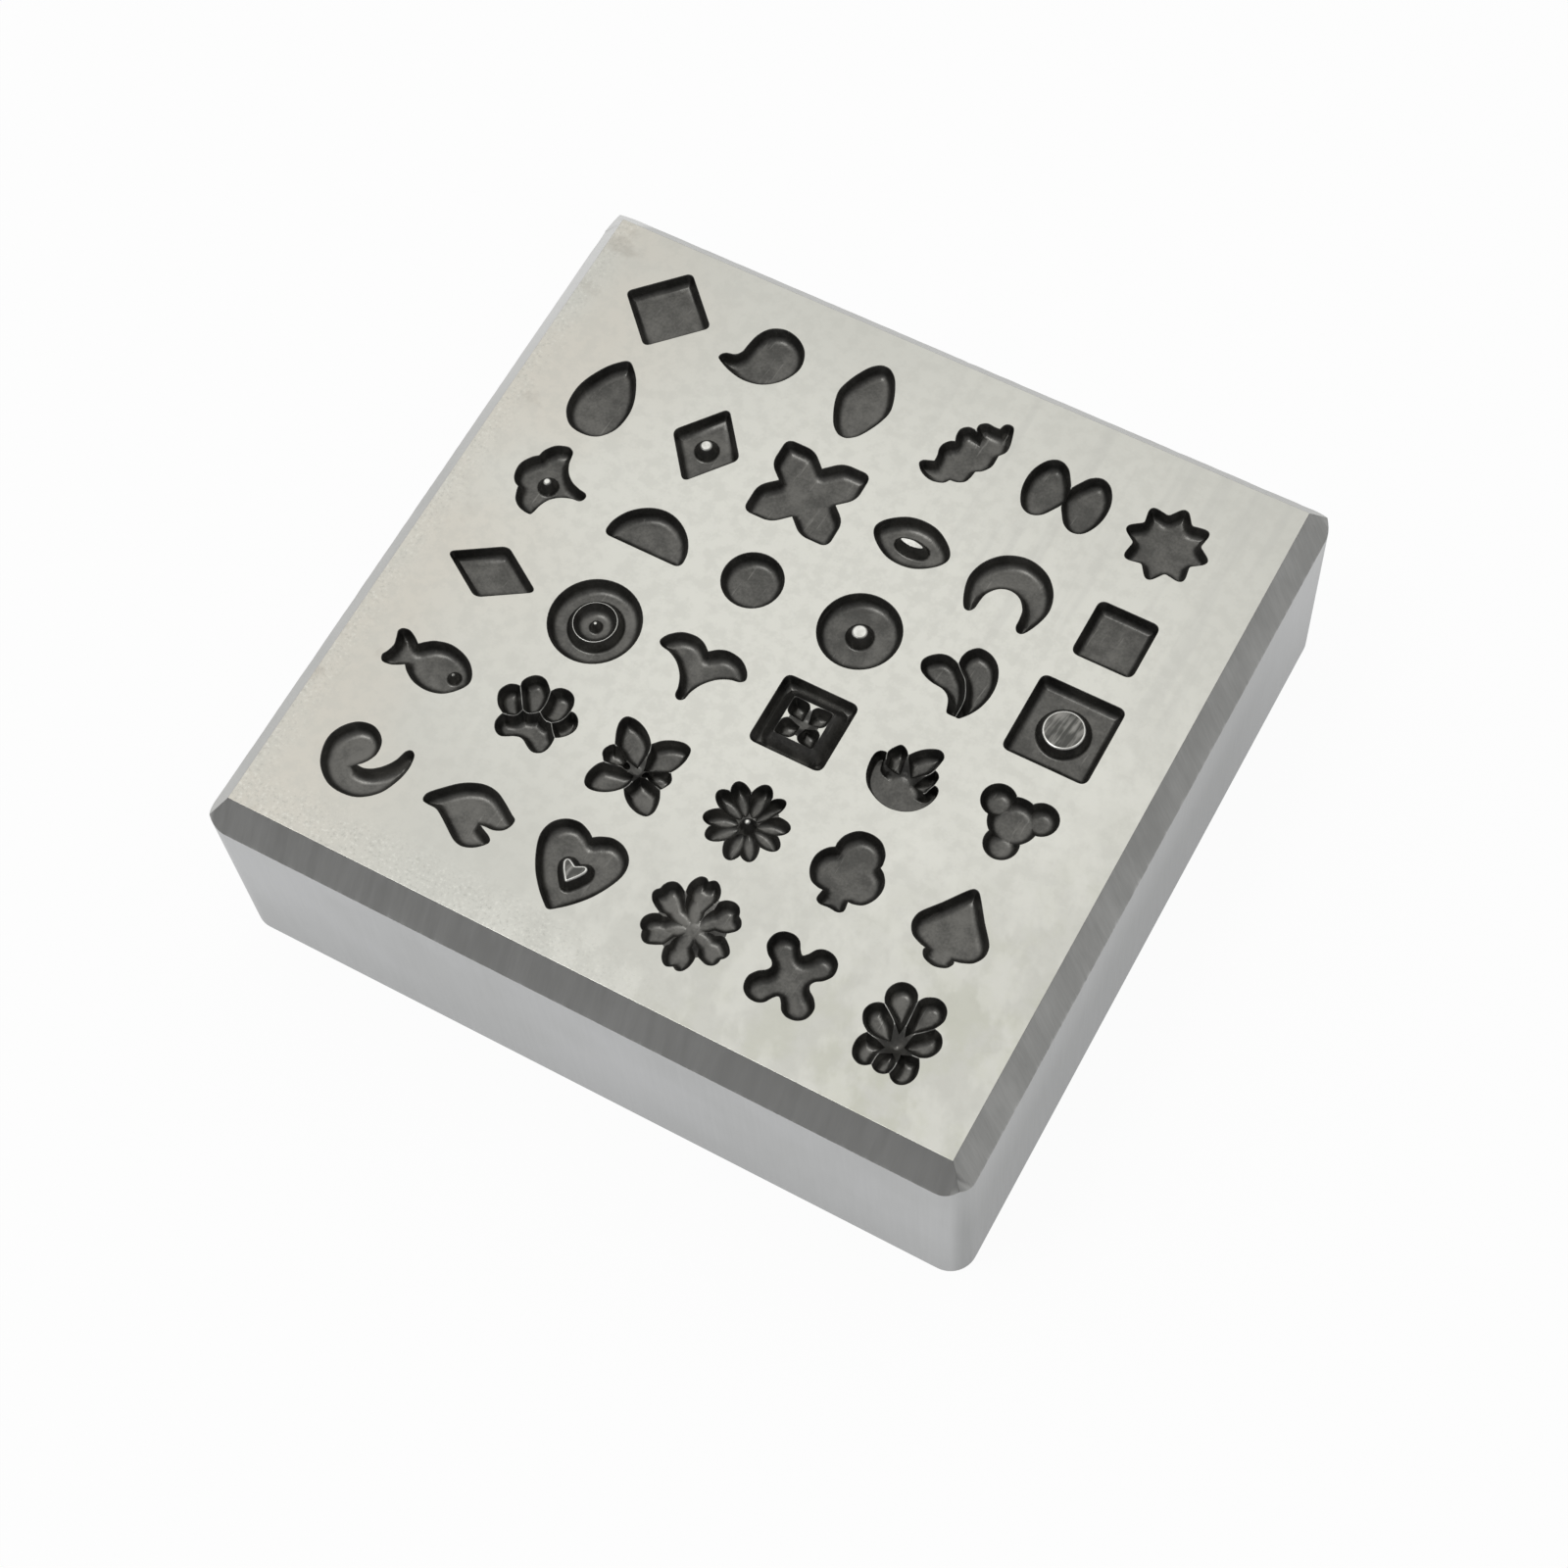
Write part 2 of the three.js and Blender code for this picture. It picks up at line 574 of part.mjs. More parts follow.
const daisyPetalShares = [
  [90, 0.98, 0.255], [57, 0.97, 0.2], [15.5, 0.985, 0.24], [-17.5, 1, 0.24], [-58, 1.005, 0.245],
  [-86, 1.03, 0.252], [-130, 1, 0.252], [-159, 1, 0.24], [160, 1, 0.245], [132, 1, 0.245],
];
const daisyLongShare = 0.33;
const daisyDishShares = [0, 0, 0.6, 0.33];
const clubShares = [
  [0, -0.97], [0.2, -0.985], [0.31, -0.93], [0.33, -0.84], [0.3, -0.66, 0.02], [0.45, -0.655],
  [0.65, -0.57], [0.8, -0.35], [0.845, -0.1], [0.8, 0.1], [0.68, 0.27], [0.55, 0.36, 0.01],
  [0.555, 0.5], [0.48, 0.72], [0.28, 0.92], [0, 0.985],
];
const spadeShares = [
  [0, -0.99], [0.25, -0.92], [0.35, -0.78], [0.33, -0.7, 0.01], [0.5, -0.66], [0.72, -0.55],
  [0.85, -0.35], [0.86, -0.15], [0.78, 0.03], [0.5, 0.38], [0.2, 0.8], [0.08, 0.94], [0, 0.97],
];
const hookShares = [
  [0, -0.84], [0.4, -0.75], [0.75, -0.45], [0.93, -0.05], [0.99, 0.3], [0.95, 0.6], [0.87, 0.7],
  [0.78, 0.7], [0.71, 0.6], [0.65, 0.37], [0.5, 0.13], [0.3, -0.05], [0.1, -0.13], [-0.07, -0.12, 0.01],
  [0.02, -0.03], [0.12, 0.12], [0.18, 0.32], [0.13, 0.58], [-0.05, 0.77], [-0.3, 0.85], [-0.6, 0.77],
  [-0.85, 0.52], [-0.97, 0.2], [-0.93, -0.15], [-0.75, -0.5], [-0.4, -0.77],
];
const notchedLeafShares = [
  [-0.97, -0.1], [-0.93, -0.19], [-0.8, -0.21], [-0.6, -0.22], [-0.4, -0.33], [-0.15, -0.5], [0.1, -0.66],
  [0.32, -0.7], [0.55, -0.61], [0.72, -0.45], [0.76, -0.35], [0.68, -0.26], [0.5, -0.18],
  [0.39, -0.12, 0.02], [0.5, -0.1], [0.7, -0.09], [0.88, 0], [0.97, 0.15], [0.97, 0.3], [0.85, 0.38],
  [0.6, 0.54], [0.35, 0.67], [0.1, 0.71], [-0.15, 0.66], [-0.45, 0.5], [-0.75, 0.22], [-0.93, 0.02],
];
const heartShares = [
  [0, -1, 0.1], [0.35, -0.7], [0.65, -0.35], [0.87, 0.05], [0.97, 0.4], [0.9, 0.7], [0.68, 0.9],
  [0.4, 0.96], [0.15, 0.88], [0, 0.78, 0.01],
];
const heartIslandShares = [
  [0, -0.29, 0.04], [0.15, -0.11], [0.25, 0.06], [0.245, 0.15], [0.18, 0.18], [0.09, 0.14], [0, 0.09, 0.02],
];
const cosmosCornerShares = {
  a: [0.259, 0.648], b: [-0.4, 0.541], c: [-0.613, -0.067], d: [-0.205, -0.6], e: [0.443, -0.515],
  f: [0.667, 0.107], o: [0.053, 0.013],
};
const cosmosLineShares = {
  ab: [
    [0.248, 0.76], [0.208, 0.867], [0.133, 0.96], [0.04, 1.013], [-0.032, 1.003], [-0.107, 0.939, 0.01],
    [-0.16, 0.979], [-0.227, 0.987], [-0.307, 0.955], [-0.379, 0.853], [-0.419, 0.707],
  ],
  bc: [
    [-0.533, 0.619], [-0.653, 0.645], [-0.773, 0.592], [-0.848, 0.485], [-0.867, 0.387, 0.01],
    [-0.933, 0.32], [-0.955, 0.227], [-0.893, 0.107], [-0.773, 0.013],
  ],
  cd: [
    [-0.76, -0.147], [-0.848, -0.267], [-0.859, -0.387], [-0.813, -0.485], [-0.739, -0.539, 0.01],
    [-0.707, -0.64], [-0.627, -0.72], [-0.52, -0.741], [-0.373, -0.688],
  ],
  de: [
    [-0.181, -0.733], [-0.133, -0.853], [-0.053, -0.939], [0.027, -0.971], [0.093, -0.955],
    [0.16, -0.915, 0.01], [0.227, -0.952], [0.293, -0.952], [0.373, -0.901], [0.432, -0.787],
    [0.453, -0.653],
  ],
  ef: [
    [0.573, -0.56], [0.693, -0.592], [0.813, -0.555], [0.88, -0.467], [0.893, -0.368, 0.01],
    [0.96, -0.299], [0.987, -0.187], [0.92, -0.075], [0.8, 0.032],
  ],
  fa: [
    [0.773, 0.181], [0.88, 0.288], [0.907, 0.4], [0.853, 0.512], [0.768, 0.573, 0.01], [0.736, 0.667],
    [0.667, 0.752], [0.541, 0.792], [0.387, 0.755],
  ],
};
const cosmosCells = ["abo", "bco", "cdo", "deo", "efo", "fao"];
const cosmosDishShares = [0.053, 0.013, 0.6, 0.27];
const boneCrossShares = [
  [0.53, 0], [0.6, 0.14], [0.78, 0.27], [0.92, 0.5], [0.88, 0.78], [0.7, 0.95], [0.45, 0.99], [0.25, 0.9],
  [0.12, 0.7], [0, 0.6],
];
const sevenPetalsCornerShares = {
  a: [0.017, 0.729], b: [-0.557, 0.386], c: [-0.577, -0.314], d: [-0.177, -0.894],
  e: [0.22, -0.894], f: [0.614, -0.329], g: [0.6, 0.371], o: [0.051, -0.271],
};
const sevenPetalsLineShares = {
  ab: [
    [-0.051, 0.871], [-0.171, 0.966], [-0.329, 0.994], [-0.486, 0.943], [-0.6, 0.82], [-0.649, 0.657],
    [-0.62, 0.5],
  ],
  bc: [[-0.686, 0.349], [-0.8, 0.249], [-0.857, 0.1], [-0.834, -0.043], [-0.734, -0.2]],
  cd: [
    [-0.657, -0.429], [-0.7, -0.586], [-0.677, -0.771], [-0.586, -0.923], [-0.429, -1], [-0.286, -0.977],
  ],
  de: [[-0.094, -0.963], [0.02, -0.991], [0.134, -0.963]],
  ef: [
    [0.314, -0.989], [0.457, -1.034], [0.606, -0.977], [0.706, -0.849], [0.743, -0.686], [0.706, -0.5],
  ],
  fg: [[0.763, -0.249], [0.863, -0.114], [0.9, 0.043], [0.863, 0.191], [0.763, 0.314]],
  ga: [
    [0.663, 0.5], [0.691, 0.629], [0.649, 0.8], [0.534, 0.929], [0.371, 0.977], [0.229, 0.943],
    [0.094, 0.857],
  ],
  ao: [[0.04, 0.429], [0.057, 0.086]],
  bo: [[-0.371, 0.257], [-0.171, 0.086]],
  co: [[-0.371, -0.349], [-0.143, -0.329]],
  do: [[-0.171, -0.686], [-0.12, -0.529]],
  eo: [[0.257, -0.714], [0.214, -0.529]],
  fo: [[0.4, -0.343], [0.214, -0.314]],
  go: [[0.429, 0.2], [0.243, 0.029]],
};
const sevenPetalsCells = ["abo", "bco", "cdo", "deo", "efo", "fgo", "gao"];
const sevenPetalsDishShares = [0.051, -0.271, 0.45, 0.1];

// Figures

function ovals(table, reach) {
  return table.map((row) => ovalEdge(row, reach));
}

function around(turn, distance) {
  const angle = THREE.MathUtils.degToRad(turn);
  return [distance * Math.cos(angle), distance * Math.sin(angle)];
}

function pinAt([x, y], reach, radius, drop = pinDrop) {
  return island(circleEdge(radius, [x * reach, y * reach]), drop);
}

function sunk(edges) {
  return edges.map(sinking).reduce((whole, solid) => whole.add(solid));
}

const cornerSquare = () => sunk([rhombEdge(cornerSquareReach, cornerSquareReach, cornerSquareEase)]);
const comma = () => sunk([tracedEdge(commaShares, commaReach)]);
const uprightAlmond = () => sunk([almondEdge(uprightAlmondHalfWidth, uprightAlmondHalfHeight)]);
const oakLeaf = () => sunk([tracedEdge(oakLeafShares, oakLeafReach)]);
const drop = () => sunk([tracedEdge(bothSides(dropShares), dropReach)]);
const cross = () => sunk([tracedEdge(fourQuarters(crossShares), crossReach)]);
const crescent = () => sunk([tracedEdge(bothSides(crescentShares), crescentReach)]);
const smallSquare = () => sunk([squareEdge(smallSquareReach, squareEase)]);
const halfMoon = () => sunk([tracedEdge(bothSides(halfMoonShares), halfMoonReach)]);
const plainCircle = () => sunk([circleEdge(plainCircleRadius)]);
const lyingRhomb = () => sunk([rhombEdge(lyingRhombHalfWidth, lyingRhombHalfHeight, rhombEase)]);
const tail = () => sunk([tracedEdge(bothSides(tailShares), tailReach)]);
const club = () => sunk([tracedEdge(bothSides(clubShares), clubReach)]);
const spade = () => sunk([tracedEdge(bothSides(spadeShares), spadeReach)]);
const hook = () => sunk([tracedEdge(hookShares, hookReach)]);
const notchedLeaf = () => sunk([tracedEdge(notchedLeafShares, notchedLeafReach)]);
const boneCross = () => sunk([tracedEdge(fourQuarters(boneCrossShares), boneCrossReach)]);

// Two loops that meet at a waist.
function bow() {
  return sunk([tracedEdge(bowLoopShares, bowReach), tracedEdge(mirrored(bowLoopShares), bowReach)]);
}

function star() {
  const shares = Array.from({ length: 2 * starPoints }, (_, i) => {
    const isTip = i % 2 === 0;
    const [x, y] = around((180 * i) / starPoints, isTip ? 1 : starValleyShare);
    return [x, y, isTip ? starTipEaseShare : starValleyEaseShare];
  });
  return sunk([tracedEdge(shares, starReach)]);
}

function pinnedRhomb() {
  const rhomb = rhombEdge(uprightRhombHalfWidth, uprightRhombHalfHeight, rhombEase);
  return sunk([rhomb]).subtract(island(circleEdge(rhombPinRadius), pinDrop));
}

function eye() {
  const lids = quarterTurned(almondEdge(lyingAlmondHalfHeight, lyingAlmondHalfWidth));
  const inner = quarterTurned(almondEdge(eyeHalfHeight, eyeHalfWidth));
  return sunk([lids]).subtract(island(inner, pinDrop));
}

function trumpet() {
  const flower = tracedEdge(trumpetShares, trumpetReach);
  return sunk([flower]).subtract(pinAt(trumpetPinShares, trumpetReach, trumpetPinRadius));
}

function pinnedDisc() {
  return sunk([circleEdge(pinnedDiscRadius)]).subtract(island(circleEdge(discPinRadius), pinDrop));
}

function paisleys() {
  return sunk(cellEdges(paisleyCornerShares, paisleyLineShares, paisleyCells, paisleysReach));
}

function bossSquare() {
  return sunk([squareEdge(bossSquareReach, squareEase)]).subtract(island(circleEdge(bossRadius), bossDrop));
}

// A disc with a ring standing in it, whose inside falls to a bowl with a small pip.
function target() {
  const ringMiddle = circleEdge(targetRingRadius);
  const ringOutside = insetEdge(ringMiddle, -targetRingWidth / 2);
  const ringInside = insetEdge(ringMiddle, targetRingWidth / 2);
  const slopes = leanProfile(islandLean, islandFillet, sinkDepth - targetRingDrop);
  const bowl = slopes.map(([inset, depth]) => ({
    edge: insetEdge(ringInside, inset),
    z: plateHeight - targetRingDrop - depth,
  }));
  const opening = { edge: ringInside, z: plateHeight + overrun };
  const brim = { edge: ringInside, z: plateHeight - targetRingDrop };
  return sunk([circleEdge(targetRadius)])
    .subtract(island(ringOutside, targetRingDrop))
    .add(loft([opening, brim, ...bowl]))
    .subtract(island(circleEdge(pipRadius), pipDrop));
}

// A square with a raised panel in it, into which four petals are sunk corner to corner.
function panel() {
  const square = squareEdge(panelSquareReach, squareEase);
  const raised = squareEdge(panelHalfShare * panelSquareReach, panelEaseShare * panelSquareReach);
  const petal = tracedEdge(bothSides(panelPetalShares), panelSquareReach);
  const middle = new THREE.Vector2();
  const petals = panelPetalTurns.map((turn) => {
    const angle = THREE.MathUtils.degToRad(turn) - Math.PI / 2;
    return petal.map((point) => point.clone().rotateAround(middle, angle));
  });
  return sunk([square]).subtract(island(raised)).add(sunk(petals));
}

function wingLeaf() {
  const cells = cellEdges(wingLeafCornerShares, wingLeafLineShares, wingLeafCells, wingLeafReach);
  return sunk([...cells, ovalEdge(wingLeafBodyShares, wingLeafReach)]);
}

function trefoil() {
  const { distance, radius, body } = trefoilShares;
  const lobes = [30, 150, 270].map((turn) => [...around(turn, distance), radius, radius]);
  return sunk(ovals([...lobes, [0, 0, body, body]], trefoilReach));
}

function fish() {
  const eyePin = pinAt(fishEyeShares, fishReach, fishEyeRadius, fishEyeDrop);
  return sunk([tracedEdge(fishShares, fishReach)]).subtract(eyePin);
}

function paw() {
  return sunk(cellEdges(pawCornerShares, pawLineShares, pawCells, pawReach));
}

function butterfly() {
  return sunk(cellEdges(butterflyCornerShares, butterflyLineShares, butterflyCells, butterflyReach));
}

// Ten petals of one length, and a pin in the dish where they meet.
function daisy() {
  const petals = daisyPetalShares.map(([turn, tip, wide]) => [
    ...around(turn, tip - daisyLongShare), daisyLongShare, wide, turn,
  ]);
  const flower = sunk(ovals(petals, daisyReach)).add(dish(daisyDishShares, daisyReach));
  return flower.subtract(island(circleEdge(daisyPinRadius), pinDrop));
}

function heart() {
  const outer = tracedEdge(bothSides(heartShares), heartReach);
  return sunk([outer]).subtract(island(tracedEdge(bothSides(heartIslandShares), heartReach)));
}

// Six petals with a notch in each end.
function cosmos() {
  const petals = cellEdges(cosmosCornerShares, cosmosLineShares, cosmosCells, cosmosReach);
  return sunk(petals).add(dish(cosmosDishShares, cosmosReach));
}

function sevenPetals() {
  const [corners, lines, cells] = [sevenPetalsCornerShares, sevenPetalsLineShares, sevenPetalsCells];
  const petals = sunk(cellEdges(corners, lines, cells, sevenPetalsReach));
  return petals.add(dish(sevenPetalsDishShares, sevenPetalsReach));
}

// The figures in their rows, from the back row forwards and from left to right.
const figureRows = [
  [cornerSquare, comma, uprightAlmond, oakLeaf, bow, star],
  [drop, pinnedRhomb, cross, eye, crescent, smallSquare],
  [trumpet, halfMoon, plainCircle, pinnedDisc, paisleys, bossSquare],
  [lyingRhomb, target, tail, panel, wingLeaf, trefoil],
  [fish, paw, butterfly, daisy, club, spade],
  [hook, notchedLeaf, heart, cosmos, boneCross, sevenPetals],
];

// How far each figure's middle lies off its cell's, in shares of the pitches.
const shiftShares = [
  [[-0.013, 0.14], [-0.017, 0.101], [-0.015, 0.079], [0.009, 0.039], [-0.034, 0.022], [-0.072, -0.021]],
  [[-0.047, 0.082], [-0.022, 0.053], [-0.015, 0.031], [0.012, 0], [-0.034, -0.089], [-0.052, -0.046]],
  [[-0.03, 0.109], [0.006, 0.087], [-0.012, 0.05], [0.023, 0.032], [-0.062, 0.018], [-0.057, -0.005]],
  [[-0.026, 0.093], [0, 0.081], [-0.009, 0.056], [0.019, 0.051], [-0.022, 0.016], [-0.043, 0.05]],
  [[-0.041, 0.083], [-0.006, 0.089], [-0.015, 0.055], [0.043, 0.038], [-0.006, 0.032], [-0.031, -0.014]],
  [[-0.047, 0.024], [-0.034, 0.03], [-0.003, -0.01], [0.076, 0.013], [0.011, -0.005], [-0.003, -0.016]],
];

function placed(figure, row, column) {
  const [across, along] = shiftShares[row][column];
  const x = (column - (columns - 1) / 2 + across) * columnPitch;
  const y = ((rows - 1) / 2 - row + along) * rowPitch;
  return figure().translate([x, y, 0]);
}

// Block with round upright corners, its top edges cut by four flat chamfers that meet in mitres.
function block() {
  const [x, y] = [plateWidth / 2, plateDepth / 2];
  const footprint = new THREE.Shape();
  footprint.absarc(x - cornerRadius, y - cornerRadius, cornerRadius, 0, Math.PI / 2);
  footprint.absarc(cornerRadius - x, y - cornerRadius, cornerRadius, Math.PI / 2, Math.PI);
  footprint.absarc(cornerRadius - x, cornerRadius - y, cornerRadius, Math.PI, 1.5 * Math.PI);
  footprint.absarc(x - cornerRadius, cornerRadius - y, cornerRadius, 1.5 * Math.PI, 2 * Math.PI);
  const body = solidFrom(new THREE.ExtrudeGeometry(footprint, {
    depth: plateHeight, bevelEnabled: false, curveSegments: tracingSteps,
  }));
  const frame = (z) => {
    const rise = (plateHeight - chamferDrop - z) / chamferDrop;
    const [right, back] = [x + rise * chamferWidth, y + rise * chamferWidth];
    const front = -y - rise * frontChamferWidth;
    const corners = [[right, front], [right, back], [-right, back], [-right, front]];
    return { edge: corners.map((corner) => new THREE.Vector2(...corner)), z };
  };
  return body.intersect(loft([frame(plateHeight + overrun), frame(-overrun)]));
}

function shotPlate() {
  const cuts = figureRows.flatMap((line, row) => line.map((figure, column) => placed(figure, row, column)));
  return cuts.reduce((plate, cut) => plate.subtract(cut), block());
}

function meshFrom(solid, name, material) {
  const { vertProperties, triVerts } = solid.getMesh();
  const geometry = new THREE.BufferGeometry();
  geometry.setAttribute("position", new THREE.BufferAttribute(vertProperties, 3));
  geometry.setIndex(new THREE.BufferAttribute(triVerts, 1));
  const mesh = new THREE.Mesh(geometry, material);
  mesh.name = name;
  return mesh;
}

const groundSteel = new THREE.MeshStandardMaterial({
  color: 0xc9c9c2, roughness: 0.4, metalness: 0.9, flatShading: true,
});

const part = new THREE.Group();
part.add(meshFrom(shotPlate(), "shot_plate", groundSteel));

export default part;
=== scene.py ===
import json
import math
from collections import namedtuple

import bmesh
import bpy
from mathutils import Matrix, Vector, noise

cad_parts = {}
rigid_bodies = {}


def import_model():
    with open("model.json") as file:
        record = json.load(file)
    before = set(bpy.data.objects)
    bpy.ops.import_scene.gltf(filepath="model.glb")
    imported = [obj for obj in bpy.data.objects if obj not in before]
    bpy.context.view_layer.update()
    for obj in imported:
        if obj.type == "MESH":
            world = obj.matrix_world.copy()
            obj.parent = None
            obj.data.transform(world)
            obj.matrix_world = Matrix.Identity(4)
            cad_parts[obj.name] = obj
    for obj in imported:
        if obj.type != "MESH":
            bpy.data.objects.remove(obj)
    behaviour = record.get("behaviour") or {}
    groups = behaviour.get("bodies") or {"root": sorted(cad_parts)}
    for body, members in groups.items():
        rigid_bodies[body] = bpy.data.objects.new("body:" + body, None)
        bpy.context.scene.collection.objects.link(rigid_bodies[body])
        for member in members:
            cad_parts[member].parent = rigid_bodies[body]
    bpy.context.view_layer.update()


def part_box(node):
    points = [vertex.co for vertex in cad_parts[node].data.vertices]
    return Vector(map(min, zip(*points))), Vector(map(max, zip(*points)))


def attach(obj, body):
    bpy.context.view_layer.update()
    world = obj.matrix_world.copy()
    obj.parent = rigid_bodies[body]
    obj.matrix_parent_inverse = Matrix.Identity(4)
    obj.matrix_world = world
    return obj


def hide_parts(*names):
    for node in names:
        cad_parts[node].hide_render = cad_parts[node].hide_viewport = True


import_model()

METRES_PER_MM = 0.001

# Block, whose overall size is the frame's
box_low, box_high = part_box("shot_plate")
plate_width, plate_depth, plate_height = (box_high - box_low) / METRES_PER_MM
corner_radius = 2.1
corner_segments = 12
chamfer_width = 1.75
front_chamfer_width = 2.0
chamfer_drop = 2.3
edge_ease = 0.07
ease_segments = 2
finest_fold = math.radians(20)
stroke_width = 0.55
border_wander = 0.07
border_waves_per_mm = 0.9
border_ripples_per_mm = 2.7
BORDER_RIPPLE_SHARE = 0.5

# Field of figures
columns = 6
rows = 6
side_margin = 4.95
end_margin = 4.5
column_pitch = (plate_width - 2 * side_margin) / columns
row_pitch = (plate_depth - 2 * end_margin) / rows

# Sunk walls and the sides of the islands left standing
sink_depth = 1.05
wall_lean = math.radians(22)
floor_fillet = 0.7
cell_fillet = 0.55
flower_fillet = 0.6
ridge_half_width = 0.045
island_lean = math.radians(28)
island_fillet = 0.25
rim_radius = 0.12
rim_steps = 4
burnish_width = 0.04
burnish_drop = 0.002
island_rim_radius = 0.06
pin_rim_radius = 0.16
fillet_steps = 8
dish_steps = 10
DISH_ROUND_SHARE = 0.35
LEAN_STEP_SHARE = 0.06

# Figures of straight sides and circles
corner_square_reach = 3.82
corner_square_ease = 0.5
small_square_reach = 2.48
boss_square_reach = 3.42
panel_square_reach = 3.05
square_ease = 0.65
upright_rhomb_half_width = 2.94
upright_rhomb_half_height = 3.64
lying_rhomb_half_width = 3.9
lying_rhomb_half_height = 2.46
rhomb_ease = 0.55
upright_almond_half_width = 2.2
upright_almond_half_height = 3.57
lying_almond_half_width = 3.12
lying_almond_half_height = 2.08
plain_circle_radius = 2.4
pinned_disc_radius = 3.22
target_radius = 3.6
target_ring_radius = 1.7
target_ring_width = 0.05
target_ring_drop = 0.15
star_reach = 3.65
cross_reach = 3.65

# Reach of each drawn figure: half of its longer side
comma_reach = 3.1
oak_leaf_reach = 3.6
bow_reach = 3.45
drop_reach = 3.75
crescent_reach = 3.4
trumpet_reach = 3.3
half_moon_reach = 3.4
paisleys_reach = 3.0
tail_reach = 3.7
wing_leaf_reach = 2.9
trefoil_reach = 3.3
fish_reach = 3.65
paw_reach = 3.4
butterfly_reach = 3.3
daisy_reach = 3.25
club_reach = 3.3
spade_reach = 3.35
hook_reach = 3.4
notched_leaf_reach = 3.55
heart_reach = 3.6
cosmos_reach = 3.75
bone_cross_reach = 2.9
seven_petals_reach = 3.5

# Islands left standing in the figures, and low parts of their floors
boss_radius = 1.58
boss_drop = 0.12
boss_rim_radius = 0.18
boss_reach = 1.8
eye_half_width = 0.92
eye_half_height = 0.27
pin_drop = 0.06
disc_pin_radius = 0.58
rhomb_pin_radius = 0.45
trumpet_pin_radius = 0.3
daisy_pin_radius = 0.2
fish_eye_radius = 0.12
fish_eye_drop = 0.25
pip_radius = 0.12
pip_rim_radius = 0.05
pip_drop = 0.3
panel_dish_depth = 0.5
panel_lean = math.radians(45)
butterfly_dish_depth = 0.55
butterfly_dark_radius = 1.3

# Fineness
chord_sag = 0.006
fewest_sides = 16
tracing_steps = 20
overrun = 0.3
merge_distance = 0.00001

# What tells the finishes apart: the rise of a face's normal, and how far a ridge's strips rise and reach
level_rise = 0.99
nearly_level_rise = 0.95
upright_rise = 0.25
ridge_strip = 0.05
ridge_reach = 0.6
crisp_angle = math.radians(50)

# Marks on the steel, and the painted highlight and shade of the chamfers and sides, along the plate's axes,
# each from where it starts to where it is full. Those of the corner at the front right go by how far a point
# lies towards it
warm_x = (-13, -29)
stroked_x, stroked_y = (-6, 8), (0, 12)
olive_corner = (22, 52)
rubbed_corner = (12, 26)
worn_x, worn_y, worn_end_x = (-27, -30), (-24.5, -27.5), (12, -8)
smudged_x = (-24, -28)
# Painted highlight on the left chamfer towards the back, and painted shade towards the right
painted_highlight_x, painted_highlight_y = (-28, -29), (0, 28)
painted_shade_x = (0, 20)
nicked_x = (28, 29)
# Painted shade on the right side and towards the foot of the sides
right_shade_x = (plate_width / 2 - 1.25, plate_width / 2 - 0.25)
right_shade_y, right_shade_z = (12, 28), (8, 17)
foot_shade_z = (12, 0)

# Where the top's painted sheen is brightest and how it fades with the square of the way from there, and the
# pale strokes that feather out above each chamfer's foot
sheen_middle_x, sheen_middle_y = 2, 5
sheen_falloff_x, sheen_falloff_y = 0.0004, 0.0007
feather_rise = 0.2
feather_length = 0.7

# Colours of the steel, as red, green and blue
# The top's two colours, between which both its random tone and its painted sheen vary
ground_tone_and_sheen_bright, ground_tone_and_sheen_dim = (0.73, 0.73, 0.685), (0.61, 0.61, 0.572)
ground_warm = (0.69, 0.64, 0.565)
ground_stroke = (0.47, 0.47, 0.455)
ground_speck = (0.54, 0.54, 0.505)
ground_olive = (0.52, 0.53, 0.43)
ground_rubbed = (0.78, 0.78, 0.735)
ground_grain = (0.85, 0.85, 0.8)
ground_pit = (0.4, 0.4, 0.37)
ground_smudge = (0.36, 0.33, 0.29)
chamfer_dark, chamfer_light = (0.49, 0.49, 0.475), (0.57, 0.57, 0.555)
# Painted highlight of the left chamfer
chamfer_painted_highlight = (0.78, 0.78, 0.77)
chamfer_feather = (0.8, 0.8, 0.79)
chamfer_nick = (0.12, 0.12, 0.115)
side_dark, side_light = (0.455, 0.46, 0.46), (0.5, 0.505, 0.51)
# Painted shade of the sides: towards their foot, and on the right side
side_foot_shade = (0.4, 0.405, 0.405)
side_right_shade = (0.31, 0.315, 0.315)
skin_dark, skin_light = (0.085, 0.084, 0.08), (0.165, 0.162, 0.153)
skin_scratch = (0.3, 0.295, 0.28)
# Colours of the ridges, brightened partly by wear and partly as painted highlight
ridge_dark, ridge_light = (0.2, 0.2, 0.19), (0.44, 0.44, 0.42)
pin_dark, pin_light = (0.66, 0.66, 0.63), (0.9, 0.9, 0.87)
boss_dark, boss_light = (0.095, 0.095, 0.09), (0.3, 0.295, 0.28)

# Floor, world and lamp
floor_radius = 600
floor_sides = 96
floor_colour = (0.86, 0.87, 0.88)
FLOOR_WHITE_SHARE = 0.95
FLOOR_MIRRORED_SHARE = 0.66
studio_white = (1, 1, 1)
studio_dim, studio_bright = (0.13, 0.13, 0.135), (0.97, 0.965, 0.94)
studio_behind = (-0.57, 0.82, 0)
STUDIO_RISE_SHARES = (0.12, 0.8)
STUDIO_BEHIND_SHARES = (-0.55, 0.25, 0.3, 1)
lamp_width = 220
lamp_watts = 0.8
lamp_place = Vector((-182, -196, 644))

# The photograph's camera, whose focal length is in pixels of its 1600-pixel frame
photo_width_px = 1600
focal_length_px = 3189.2
sensor_width = 36
camera_place = Vector((63.29, -90.97, 224.05))
camera_aim = Vector((5.784, -9.016, plate_height))
camera_roll = math.radians(-6.84)

